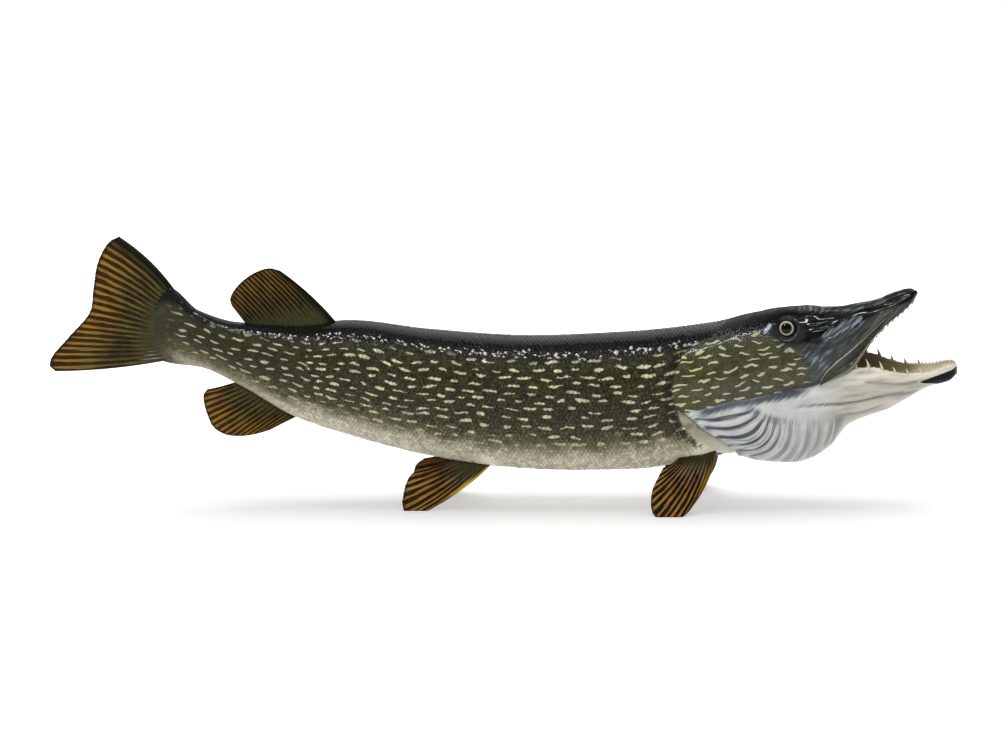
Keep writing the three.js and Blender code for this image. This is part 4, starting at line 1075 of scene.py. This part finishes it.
class Finish:
    """A material: its Principled shader, and the nodes that feed it."""

    def __init__(self, name, **constants):
        self.material = bpy.data.materials.new(name)
        self.material.use_nodes = True
        self.tree = self.material.node_tree
        self.tree.nodes.clear()
        output = self.tree.nodes.new("ShaderNodeOutputMaterial")
        self.shader = self.tree.nodes.new("ShaderNodeBsdfPrincipled")
        self.tree.links.new(self.shader.outputs[0], output.inputs["Surface"])
        for key, number in constants.items():
            self.shader.inputs[key.replace("_", " ").title().replace("Ior", "IOR")].default_value = number

    def node(self, kind, settings, sockets, out=0):
        """Any node: its settings are set first, then its sockets get values or links."""
        made = self.tree.nodes.new(kind)
        for key, setting in settings.items():
            if key == "stops":
                ramp = made.color_ramp
                while len(ramp.elements) < len(setting):
                    ramp.elements.new(0.5)
                for element, (place, colour) in zip(ramp.elements, setting):
                    element.position, element.color = place, (*colour, 1)
            else:
                setattr(made, key, setting)
        for key, value in sockets.items():
            if isinstance(value, Value):
                self.tree.links.new(value.socket, made.inputs[key])
            elif isinstance(value, tuple) and made.inputs[key].type == "RGBA":
                made.inputs[key].default_value = (*value, 1)
            else:
                made.inputs[key].default_value = value
        return Value(self, made.outputs[out])

    def feed(self, **sockets):
        for key, value in sockets.items():
            self.tree.links.new(value.socket, self.shader.inputs[key.replace("_", " ").title()])

    def field(self, name):
        return self.node("ShaderNodeAttribute", dict(attribute_name=name), {}, 2)

    def map(self, name):
        """The two numbers of a UV map."""
        pair = self.node("ShaderNodeUVMap", dict(uv_map=name), {})
        return [self.node("ShaderNodeSeparateXYZ", {}, {0: pair}, k) for k in (0, 1)]

    def place(self):
        return self.node("ShaderNodeTexCoord", {}, {}, 3)

    def noise(self, vector, scale, detail=2.0, rough=0.5):
        return self.node("ShaderNodeTexNoise", {}, {"Vector": vector, "Scale": scale,
                                                   "Detail": detail, "Roughness": rough})

    def vector(self, x, y, z=0.0):
        return self.node("ShaderNodeCombineXYZ", {}, {0: x, 1: y, 2: z})

    def chance(self, vector, out=1):
        """A random colour for each whole-number cell: its three numbers."""
        colour = self.node("ShaderNodeTexWhiteNoise", {}, {"Vector": vector}, out)
        return [self.node("ShaderNodeSeparateColor", {}, {0: colour}, k) for k in range(3)]

    def mix(self, share, a, b, blend="MIX"):
        made = self.tree.nodes.new("ShaderNodeMix")
        made.data_type, made.blend_type = "RGBA", blend
        for key, value in ((0, share), (6, a), (7, b)):
            if isinstance(value, Value):
                self.tree.links.new(value.socket, made.inputs[key])
            elif key:
                made.inputs[key].default_value = (*value, 1)
            else:
                made.inputs[key].default_value = value
        return Value(self, made.outputs[2])

    def bump(self, height, distance, strength=1.0):
        normal = self.node("ShaderNodeBump", {}, {"Height": height, "Distance": distance,
                                                 "Strength": strength})
        self.feed(normal=normal)


print("shader helpers ready")

# %% [markdown]
# The markings are pale dashes in staggered rows. The body map is cut into cells, as many rows
# round the fish as it has rows of marks, and each cell draws one dash: a random length, height and
# place in its cell, and a rim made uneven by noise. The skin and the scales share this function,
# so a mark runs on from one to the other.

# %% Markings


def dashes(finish, u, v, rows, length, thickness, wobble, ragged, missing=0.05):
    """How much of a pale dash lies at u, v. A cell is `length` wide and 1 / rows high. The dash is
    where (dx / half length)^4 + (dy / half height)^2 is under 1, with ragged noise in the sum."""
    spread = finish.vector(u, v)
    shift = finish.noise(spread, 15.0, 1.0)
    drift = finish.noise(spread, 3.0, 1.0)
    fine = finish.noise(spread, 90.0, 2.0)
    v = v + (shift - 0.5) * wobble + (drift - 0.5) * 0.10
    lane = v * rows
    lane_id = lane.floor()
    offset = finish.chance(finish.vector(lane_id, 7.0))[0]
    cell = u / length + offset * 7.0
    cell_id = cell.floor()
    long, high, gone = finish.chance(finish.vector(cell_id, lane_id, 3.0))
    dx = abs(cell - cell_id - 0.5 + (gone - 0.5) * 0.3) / (long * 0.20 + 0.18)
    dy = abs(lane - lane_id - 0.5 + (high - 0.5) * 0.4) / (thickness * (0.85 + high * 0.3))
    total = dx ** 2.6 + dy ** 2.0 + (fine - 0.5) * ragged
    shown = (gone - missing).step(0.0, 0.02)
    return (1.0 - total.step(0.55, 1.3)) * shown


FLANK_DARK, FLANK_OLIVE = (0.010, 0.010, 0.005), (0.068, 0.068, 0.028)
BROWN, BLACK, PALE = (0.074, 0.060, 0.030), (0.004, 0.005, 0.004), (0.80, 0.78, 0.50)
BELLY = (0.81, 0.78, 0.63)


def flank_colour(finish):
    """Black back, olive flank with dashes, cream belly, by how far round the fish a place lies."""
    u, v = finish.map("BodyMap")
    round_ = abs(v)
    cloud = finish.noise(finish.vector(u * 9.0, v * 9.0), 1.0, 3.0)
    grain = finish.noise(finish.vector(u * 60.0, v * 60.0), 1.0, 2.0)
    fleck = finish.noise(finish.vector(u * 95.0, v * 95.0), 1.0, 1.0)
    edge = (cloud - 0.5) * 0.10 + (grain - 0.5) * 0.05
    back_share = 1.0 - (round_ + edge).step(0.13, 0.27)
    thin = finish.node("ShaderNodeSeparateXYZ", {}, {0: finish.place()}, 0).step(-0.20, -0.33)
    belly_share = (round_ - thin * 0.08 + edge * 1.5 + (fleck - 0.5) * 0.16).step(0.66, 0.82)
    base = finish.mix(cloud.step(0.45, 0.75), FLANK_OLIVE, BROWN)
    base = finish.mix((round_ + edge).step(0.48, 0.70), base, (0.15, 0.145, 0.075))
    base = finish.mix((round_ + edge).step(0.60, 0.76), base, (0.34, 0.32, 0.16))
    base = finish.mix(grain.step(0.35, 0.75) * 0.6, base, FLANK_DARK)
    base = finish.mix(fleck.step(0.48, 0.60) * 0.7, base, (0.008, 0.008, 0.005))
    base = finish.mix(belly_share, base, finish.mix(thin * 0.6, BELLY, (0.34, 0.28, 0.20)))
    x, z = (finish.node("ShaderNodeSeparateXYZ", {}, {0: finish.place()}, k) for k in (0, 2))
    tail_end = (x + (cloud - 0.5) * 0.03).step(-0.345, -0.374)
    base = finish.mix(tail_end * 0.85, base, (0.050, 0.048, 0.020))
    stalk = dashes(finish, x * 5.6, (z + x * 0.27) * 5.6, 22.0, 0.105, 0.150, 0.030, 0.8, 0.0)
    stalk = stalk * x.step(-0.374, -0.345) * 0.85
    rear = x.step(-0.213, -0.217)
    marks = dashes(finish, u, v, 21.0, 0.114, 0.150, 0.026, 0.9, 0.02)
    marks = marks * (1.0 - rear) + stalk * rear
    fibre = finish.noise(finish.vector(u * 160.0, v * 330.0), 1.0, 2.0)
    marks = marks * (fibre.step(0.25, 0.6) * 0.45 + 0.55) * (round_ + edge).step(0.17, 0.24) * (1.0 - (round_ + edge * 0.6).step(0.66, 0.76))
    base = finish.mix(back_share, base, BLACK)
    return finish.mix(marks * 0.92, base, PALE), round_, belly_share, grain, marks


def scale_finish():
    """Scales: the flank's colours, with painted shade in the gap at each scale's rim, paler in its middle."""
    finish = Finish("lacquered_scales", specular_ior_level=0.06, coat_roughness=0.04)
    colour, round_, belly_share, grain, marks = flank_colour(finish)
    p, q = finish.map("ScaleMap")
    rim = (p + (q - 0.5) ** 2.0 * 1.1).step(0.72, 1.02)
    chance = finish.field("chance")
    tone = finish.mix(chance * 0.5, (0.6, 0.6, 0.62), (1.5, 1.46, 1.36))
    colour = finish.mix(1.0, colour, tone, "MULTIPLY")
    # Painted shade: each scale's free edge and wall are darkened where it drops to the scale under it.
    gap_shade = finish.mix(belly_share, (0.42, 0.41, 0.38), (0.80, 0.76, 0.68))
    dark = finish.mix(1.0, colour, gap_shade, "MULTIPLY")
    colour = finish.mix(rim * 0.85 * (1.0 - marks * 0.5), colour, dark)
    # Painted shadow: scales just behind the gill cover's edge go nearly black.
    colour = finish.mix(finish.field("under") * 0.85, colour, BLACK)
    x, z = (finish.node("ShaderNodeSeparateXYZ", {}, {0: finish.place()}, k) for k in (0, 2))
    facets = finish.noise(finish.vector((x + z * 0.7) * 0.45, (x * 0.7 - z) * 1.5), 700.0, 2.0)
    patchy = 1.0 - (1.0 - facets.step(0.42, 0.54)) * round_.step(0.06, 0.12) * 0.85
    finish.feed(base_color=colour, roughness=0.24 + grain * 0.18,
                coat_weight=(1.0 - round_.step(0.22, 0.34) * 0.6) * patchy)
    finish.bump(((p * 90.0).sine() + 1.0) * 0.1 + facets, 0.00040, 0.8)
    return finish.material


scales_material = scale_finish()
for piece in coats:
    piece.data.materials.append(scales_material)
print("marked scales", len(coats))

# %% [markdown]
# The bare skin of the head has the same ground colours, with short wavy marks on the cheek and the
# gill cover, a black crown, a silvery white throat with painted bluish-grey shade in its folds, and a
# mouth that goes from cream at the lips to brown in the gullet. Shade in the creases, along the gill
# cover's edge and in the eye socket is painted dark, and a sheen, a highlight and glints are painted pale.

# %% Finish of the skin


def skin_finish():
    finish = Finish("lacquered_skin", specular_ior_level=0.06, coat_roughness=0.04)
    colour, round_, belly_share, grain, marks = flank_colour(finish)
    place = finish.place()
    x, z = (finish.node("ShaderNodeSeparateXYZ", {}, {0: place}, k) for k in (0, 2))
    mottle = finish.noise(place, 90.0, 4.0, 0.6)
    fine = finish.noise(place, 420.0, 3.0)
    streak = finish.noise(finish.vector(x * 0.5, (z - x * 0.12) * 2.4), 42.0, 3.0)
    fields = {k: finish.field(k) for k in ("inside", "head", "pale", "dark", "chin", "blue",
                                           "silver", "socket", "crease", "upper", "girdle", "rib",
                                           "jaw", "fan", "in_fan", "snout", "olive", "frost",
                                           "wedge", "rust")}

    def ragged(name, amount=0.5, low=0.35, high=0.65):
        return (fields[name] + (mottle - 0.5) * amount).step(low, high)

    feather = finish.noise(finish.vector((x + z) * 0.35, (x - z) * 2.4), 110.0, 3.0)
    speckle = finish.noise(place, 700.0, 2.0)
    thread = finish.noise(finish.vector(fields["fan"] * 5.0, (x + z) * 9.0), 1.0, 3.0)
    weave = finish.noise(finish.vector(fields["fan"] * 1.7, (x + z) * 16.0, 3.0), 1.0, 2.0)
    cheek = finish.mix(mottle.step(0.4, 0.7), (0.056, 0.056, 0.026), (0.085, 0.080, 0.038))
    cheek = finish.mix(fine.step(0.4, 0.70) * 0.6, cheek, (0.020, 0.020, 0.011))
    cheek = finish.mix(fields["frost"] * 0.6, cheek, (0.016, 0.017, 0.012))
    slanted = z - x * 0.12
    worms = dashes(finish, x * 5.6, slanted * 5.6, 24.0, 0.125, 0.160, 0.055, 1.0)
    worms = worms * ragged("dark", 0.3, 0.5, 0.3) * x.step(0.345, 0.325)
    mark = finish.mix(x.step(0.25, 0.20), (0.52, 0.50, 0.36), (0.62, 0.58, 0.28))
    head = finish.mix(worms * (mottle * 0.6 + 0.5), cheek, mark)
    slate = finish.mix(feather.step(0.42, 0.62), (0.030, 0.035, 0.036), (0.075, 0.083, 0.082))
    head = finish.mix((fields["snout"] + (feather - 0.5) * 0.9).step(0.15, 0.85), head, slate)
    # Painted sheen: pale bluish streaks over dark bluish grey on the front cheek.
    sheen = finish.mix(feather.step(0.48, 0.68), (0.050, 0.060, 0.072), (0.24, 0.28, 0.33))
    blue = (fields["blue"] + (feather - 0.5) * 0.8).step(0.35, 1.0)
    head = finish.mix(blue * (1.0 - fields["pale"]) * 0.8, head, sheen)
    head = finish.mix(ragged("olive", 0.4, 0.25, 0.8) * 0.65, head, (0.11, 0.11, 0.075))
    white = finish.mix(mottle.step(0.3, 0.75), (0.64, 0.64, 0.61), (0.52, 0.54, 0.55))
    cream = finish.mix(streak.step(0.40, 0.62), (0.76, 0.72, 0.60), (0.46, 0.44, 0.38))
    cream = finish.mix(streak.step(0.58, 0.68) * 0.7, cream, (0.19, 0.17, 0.15))
    shaded = (z + (streak - 0.5) * 0.02).step(0.148, 0.134) * 0.45
    cream = finish.mix(shaded, cream, (0.36, 0.345, 0.30))
    cream = finish.mix(fields["rust"] * 0.7, cream, (0.26, 0.17, 0.11))
    white = finish.mix(fields["jaw"], white, cream)
    # Painted shade: the throat is darkened in the grooves between its rays and along fine pleats, bluish grey towards
    # the rear.
    lines = (fields["rib"] * 0.8 + thread * 0.8 + weave * 0.7 - 0.65).step(0.68, 0.32)
    rear = fields["fan"].step(8.0, 4.0)
    shade = finish.mix(rear, (0.27, 0.27, 0.26), (0.060, 0.076, 0.098))
    hair = finish.noise(finish.vector(fields["fan"] * 9.0, (x + z) * 7.0, 5.0), 1.0, 1.0)
    white = finish.mix(hair.step(0.55, 0.66) * fields["in_fan"] * 0.65, white, (0.17, 0.17, 0.165))
    white = finish.mix(lines * fields["in_fan"] * (rear * 0.35 + 0.6), white, shade)
    # Painted shade: a dark bluish band on the throat just under the cheek's edge.
    white = finish.mix(blue * 0.92, white, (0.042, 0.052, 0.078))
    head = finish.mix(ragged("pale", 0.35), head, white)
    crown = finish.mix(mottle.step(0.5, 0.8) * 0.6, (0.003, 0.004, 0.003), (0.012, 0.014, 0.010))
    head = finish.mix(ragged("dark", 0.7, 0.20, 0.65), head, crown)
    # Painted glints: pale speckles in the band below the crown.
    head = finish.mix(fields["frost"] * speckle.step(0.52, 0.62) * 0.7, head, (0.24, 0.25, 0.24))
    silver = (fields["silver"] + (feather - 0.5) * 2.0).step(0.4, 1.0)
    head = finish.mix(silver * 0.75, head, (0.24, 0.265, 0.32))
    # Painted highlight: the wedge behind the eye is pale bluish white.
    head = finish.mix(fields["wedge"], head, (0.34, 0.36, 0.44))
    # Painted shade: the socket round the glass eye is darkened to near black.
    head = finish.mix(fields["socket"].step(0.1, 0.9), head, (0.004, 0.004, 0.004))
    head = finish.mix(ragged("chin", 0.15), head, (0.006, 0.006, 0.006))
    # Painted shade: the head's grooves and the gap along the gill cover's edge are darkened.
    head = finish.mix(fields["crease"] * 0.8 * (1.0 - fields["in_fan"] * 0.7), head, (0.025, 0.027, 0.030))
    low = (z + (mottle - 0.5) * 0.02).step(0.098, 0.062)
    smooth_band = finish.mix(mottle.step(0.35, 0.65), (0.20, 0.19, 0.13), (0.42, 0.39, 0.29))
    smooth_band = finish.mix(low, smooth_band, (0.62, 0.60, 0.50))
    colour = finish.mix(ragged("girdle", 0.5, 0.3, 0.8) * 0.9, colour, smooth_band)
    # Painted shade: the same creases and the gill cover's edge darken the trunk's side as well.
    colour = finish.mix(fields["crease"] * 0.85, colour, (0.022, 0.020, 0.014))
    colour = finish.mix(fields["head"].step(0.3, 0.7), colour, head)
    deep = x.step(0.43, 0.33)
    lining = finish.mix(deep, (0.60, 0.52, 0.36), (0.17, 0.115, 0.062))
    lining = finish.mix(mottle.step(0.45, 0.8) * 0.4, lining, (0.25, 0.17, 0.10))
    roof = finish.mix(x.step(0.36, 0.40), lining, (0.05, 0.045, 0.03))
    lining = finish.mix(fields["upper"] * 0.8, lining, roof)
    rim = finish.mix(fields["upper"], (0.72, 0.68, 0.54), (0.007, 0.007, 0.006))
    rim = finish.mix(x.step(0.40, 0.36), rim, (0.30, 0.27, 0.20))
    colour = finish.mix(fields["inside"].step(0.03, 0.12), colour, rim)
    colour = finish.mix(fields["inside"].step(0.45, 0.85), colour, lining)
    grooves = finish.noise(finish.vector((x + z * 0.3) * 0.35, (z - x * 0.32) * 2.6), 170.0, 3.0)
    crown = (z - x * 0.12).step(0.163, 0.172) * x.step(0.335, 0.31)
    gloss = 0.4 - fields["dark"] * 0.35 + grooves.step(0.48, 0.57) * fields["dark"] * (1.0 - crown * 0.85)
    gloss = gloss * (1.0 - fields["frost"]) + fields["frost"] * speckle.step(0.54, 0.60)
    finish.feed(base_color=colour, roughness=0.2 + mottle * 0.16,
                coat_weight=gloss * (1.0 - fields["chin"] * 0.9) * (1.0 - fields["socket"] * 0.8))
    threads = (thread * 1.4 + weave + hair) * fields["in_fan"]
    sparks = speckle * fields["frost"] * 3.0 + grooves * fields["dark"] * 2.2 * (1.0 - fields["inside"])
    finish.bump(mottle * 0.6 + fine * 0.3 + streak * 0.5 + feather * 0.4 + threads + sparks, 0.0008, 0.5)
    return finish.material


skin.data.materials.append(skin_finish())
print("skin finish done")

# %% [markdown]
# The fins are orange-gold where light would come through the web, with dark olive streaks between
# the rays, olive flesh at the base and a black rim. Their own map counts the rays in its first
# number and runs from base to margin in its second.

# %% Finish of the fins


def fin_finish(name, lead, bands, tint=(0.13, 0.105, 0.020), dusk=0.34, black=0.0, wet_share=1.0, rust=0.85):
    """lead is a yellow front ray's strength, bands the strength of the dark streaks, dusk how far
    the olive of the base reaches, and black the strength of a black front edge."""
    finish = Finish(name, specular_ior_level=0.04, coat_roughness=0.05)
    ray, reach = finish.map("FinMap")
    cloud = finish.noise(finish.vector(ray * 0.35, reach * 2.2), 1.6, 3.0)
    patch = finish.noise(finish.vector(ray * 0.8, reach * 5.0, 4.0), 1.0, 3.0)
    grain = finish.noise(finish.vector(ray * 3.0, reach * 14.0), 1.0, 3.0)
    hair = finish.noise(finish.vector(ray * 4.5, reach * 3.0, 2.0), 1.0, 2.0)
    web = 1.0 - ((ray * 6.2832 + (patch - 0.5) * 1.6).sine() + 1.0) * 0.5
    gold = finish.mix(cloud.step(0.35, 0.65), tint, (0.085, 0.050, 0.010))
    gold = finish.mix(patch.step(0.55, 0.8) * 0.5, gold, (0.26, 0.17, 0.03))
    gold = finish.mix((reach + (cloud - 0.5) * 0.5).step(0.40, 0.90) * rust, gold, (0.32, 0.150, 0.018))
    gold = finish.mix(hair.step(0.50, 0.64) * 0.6, gold, (0.045, 0.035, 0.010))
    dark = finish.mix(grain.step(0.4, 0.7), (0.003, 0.003, 0.002), (0.016, 0.012, 0.005))
    streak = (web * 1.1 + (cloud - 0.5) * 1.3 + (patch - 0.5) * 0.7).step(0.26, 0.56) * bands
    colour = finish.mix(streak, gold, dark)
    olive = finish.mix(grain, (0.03, 0.034, 0.014), (0.075, 0.075, 0.030))
    base = 1.0 - (reach + (patch - 0.5) * 0.25).step(0.08, dusk)
    colour = finish.mix(base * 0.9, colour, olive)
    colour = finish.mix((ray + (cloud - 0.5) * 2.0).step(2.6, 0.6) * black, colour, (0.005, 0.005, 0.004))
    margin = (reach + (grain - 0.5) * 0.04).step(0.95, 0.995)
    colour = finish.mix(margin * 0.9, colour, (0.007, 0.006, 0.004))
    narrow = ray + reach.step(0.50, 0.12) * 1.8 + (grain - 0.5) * 0.6
    front = narrow.step(2.8, 1.2) * reach.step(0.85, 0.6)
    colour = finish.mix(front * lead, colour, (0.80, 0.54, 0.04))
    wet = reach.step(0.62, 0.28) * wet_share
    drops = finish.noise(finish.vector(ray * 2.0, reach * 22.0, 9.0), 1.0, 2.0)
    finish.feed(base_color=colour, roughness=0.12 + grain * 0.2, coat_weight=wet * 0.4 + 0.06)
    finish.bump(((ray * 37.7).sine() + 1.0) * 0.25 + grain + drops * wet * 2.5, 0.0006, 0.7)
    return finish.material


tail_finish = fin_finish("lacquered_tail_fin", 0.0, 0.92, black=0.95, wet_share=0.1)
dorsal_finish = fin_finish("lacquered_dorsal_fin", 0.0, 0.97, (0.070, 0.052, 0.012), 0.5, 0.97, 0.2, 0.4)
anal_finish = fin_finish("lacquered_anal_fin", 0.0, 0.92, (0.12, 0.095, 0.018), 0.4, 0.0, 0.2)
pectoral_finish = fin_finish("lacquered_pectoral_fin", 0.1, 1.0, (0.28, 0.108, 0.022), 0.46)
pelvic_finish = fin_finish("lacquered_pelvic_fin", 0.85, 0.97, (0.24, 0.095, 0.022), 0.56)
for piece, made in zip(fins, [tail_finish, dorsal_finish, anal_finish] + [pectoral_finish] * 2 + [pelvic_finish] * 2):
    piece.data.materials.append(made)
print("fin finishes", 5)

# %% [markdown]
# The glass eye has a black pupil, a pale gold ring with fine streaks, and a dark rim. The maxilla
# is olive with pale rolled edges. Teeth are ivory, darker at the root, and the tongue is cream.

# %% Finish of eyes, maxillae, teeth and tongue


def eye_finish():
    finish = Finish("glass_eye", specular_ior_level=0.0, coat_weight=0.35, coat_roughness=0.01)
    radius, turn = finish.map("EyeMap")
    streaks = finish.noise(finish.vector(turn * 60.0, radius * 3.0), 1.0, 2.0)
    edge = radius + (streaks - 0.5) * 0.03
    ring = finish.mix(streaks.step(0.3, 0.7), (0.44, 0.42, 0.32), (0.30, 0.28, 0.18))
    ring = finish.mix(edge.step(0.68, 0.60) * 0.8, ring, (0.16, 0.13, 0.05))
    colour = finish.mix(edge.step(0.555, 0.585), (0.003, 0.003, 0.003), ring)
    colour = finish.mix(edge.step(0.75, 0.80), colour, (0.008, 0.007, 0.006))
    finish.feed(base_color=colour, roughness=0.08 + streaks * 0.06)
    return finish.material


def maxilla_finish():
    finish = Finish("lacquered_maxilla", specular_ior_level=0.06, coat_weight=0.5, coat_roughness=0.05)
    run, turn = finish.map("PlateMap")
    place = finish.place()
    mottle = finish.noise(place, 110.0, 4.0, 0.6)
    across = turn * 2.06
    streak = finish.noise(finish.vector(run * 1.5, across * 9.0), 3.0, 3.0)
    colour = finish.mix(mottle.step(0.35, 0.7), (0.032, 0.034, 0.028), (0.078, 0.077, 0.062))
    colour = finish.mix(streak.step(0.46, 0.60) * 0.9, colour, (0.007, 0.007, 0.006))
    rim = 1.0 - abs(across - 0.07).step(0.02, 0.06)
    lower = abs(across - 0.9).step(0.16, 0.04)
    colour = finish.mix(rim * 0.65, colour, (0.36, 0.34, 0.27))
    colour = finish.mix(lower * 0.6, colour, (0.24, 0.235, 0.17))
    finish.feed(base_color=colour, roughness=0.2 + mottle * 0.2)
    finish.bump(streak + mottle * 0.5, 0.0005, 0.5)
    return finish.material


def tooth_finish():
    finish = Finish("ivory_teeth", specular_ior_level=0.3, coat_weight=0.4, coat_roughness=0.05)
    tip = finish.field("tip")
    grain = finish.noise(finish.place(), 600.0, 2.0)
    colour = finish.mix(tip + (grain - 0.5) * 0.3, (0.52, 0.42, 0.25), (0.80, 0.76, 0.62))
    finish.feed(base_color=colour, roughness=0.2 + grain * 0.15)
    return finish.material


def tongue_finish():
    finish = Finish("mouth_lining", specular_ior_level=0.2, coat_weight=0.3, coat_roughness=0.1)
    place = finish.place()
    x = finish.node("ShaderNodeSeparateXYZ", {}, {0: place}, 0)
    mottle = finish.noise(place, 160.0, 4.0, 0.6)
    colour = finish.mix(x.step(0.43, 0.34), (0.56, 0.47, 0.32), (0.22, 0.15, 0.085))
    colour = finish.mix(mottle.step(0.45, 0.75) * 0.4, colour, (0.36, 0.25, 0.15))
    finish.feed(base_color=colour, roughness=0.3 + mottle * 0.25)
    finish.bump(mottle, 0.0006, 0.5)
    return finish.material


for pieces, made in ((eyes, eye_finish()), (maxillae, maxilla_finish()),
                     (tooth_pieces, tooth_finish()), ([tongue_piece], tongue_finish())):
    for piece in pieces:
        piece.data.materials.append(made)
print("materials", len(bpy.data.materials))

# %% [markdown]
# The fish stands on a plain pale floor. The floor glows, which is painted light: its glow is weaker
# near the fish, so shadows still show there, and it keeps the floor pale and throws soft light up on
# the belly. The room is dim, and a few large soft boxes give the lacquer its long highlights.

# %% Floor, light and camera
floor_mesh = bpy.data.meshes.new("floor")
floor_mesh.from_pydata([(-60, -60, 0), (60, -60, 0), (60, 60, 0), (-60, 60, 0)], [], [(0, 1, 2, 3)])
floor = bpy.data.objects.new("floor", floor_mesh)
bpy.context.scene.collection.objects.link(floor)
floor_finish = Finish("glowing_pale_paper", roughness=0.9, specular_ior_level=0.0, emission_strength=1.0)
floor_finish.shader.inputs["Base Color"].default_value = (0.8, 0.8, 0.8, 1)
across, deep = (floor_finish.node("ShaderNodeSeparateXYZ", {}, {0: floor_finish.place()}, k) for k in (0, 1))
away = ((across / 1.2) ** 2.0 + (deep / 0.8) ** 2.0) ** 0.5
# Painted light: the floor's emission, weaker near the fish and stronger further away.
floor_finish.feed(emission_color=floor_finish.mix(away.step(0.15, 1.1), (0.47, 0.47, 0.47), (0.95, 0.95, 0.95)))
floor_mesh.materials.append(floor_finish.material)

world = bpy.data.worlds.new("room")
world.use_nodes = True
world.node_tree.nodes["Background"].inputs[0].default_value = (0.95, 0.97, 1.0, 1)
world.node_tree.nodes["Background"].inputs[1].default_value = 0.10
bpy.context.scene.world = world


def soft_box(name, place, aim, size, watts, colour=(1, 1, 1)):
    """A rectangular soft light at a place, turned to face its aim."""
    lamp = bpy.data.lights.new(name, "AREA")
    lamp.shape, lamp.size, lamp.size_y, lamp.energy, lamp.color = "RECTANGLE", *size, watts, colour
    rig = bpy.data.objects.new(name, lamp)
    rig.location = place
    way = np.array(aim, float) - np.array(place, float)
    rig.rotation_euler = Vector(way).to_track_quat("-Z", "Y").to_euler()
    bpy.context.scene.collection.objects.link(rig)
    return rig


def light_floor(rig, state):
    """Links a light and the floor: with INCLUDE the light shines on the floor only, and with
    EXCLUDE it shines on everything else."""
    group = bpy.data.collections.new(rig.name + "_floor")
    group.objects.link(floor)
    group.collection_objects[0].light_linking.link_state = state
    rig.light_linking.receiver_collection = group


light_floor(soft_box("overhead", (0.0, -0.55, 1.75), (0, 0, 0.1), (2.4, 0.17), 25), "EXCLUDE")
light_floor(soft_box("front", (-1.0, -1.7, 1.8), (0, 0, 0.12), (0.26, 0.26), 24), "EXCLUDE")
soft_box("behind", (0.0, 1.6, 1.5), (0, 0, 0.12), (3.2, 2.4), 13)
light_floor(soft_box("above_floor", (0.0, 0.30, 1.75), (0, 0.30, 0), (2.2, 1.1), 27), "INCLUDE")

DISTANCE, ELEVATION = 8.0, np.radians(15)
aim = Vector((0.00055, 0, 0.1395))
lens = bpy.data.cameras.new("camera")
lens.sensor_width = 36.0
lens.lens = 36.0 * DISTANCE / 1.1088
lens.clip_end = 200
camera = bpy.data.objects.new("camera", lens)
camera.location = aim + Vector((0, -np.cos(ELEVATION), np.sin(ELEVATION))) * DISTANCE
camera.rotation_euler = (np.pi / 2 - ELEVATION, 0, 0)
bpy.context.scene.collection.objects.link(camera)
bpy.context.scene.camera = camera
bpy.context.scene.view_settings.view_transform = "Standard"
print("lens", round(lens.lens, 1), "mm at", DISTANCE, "m")
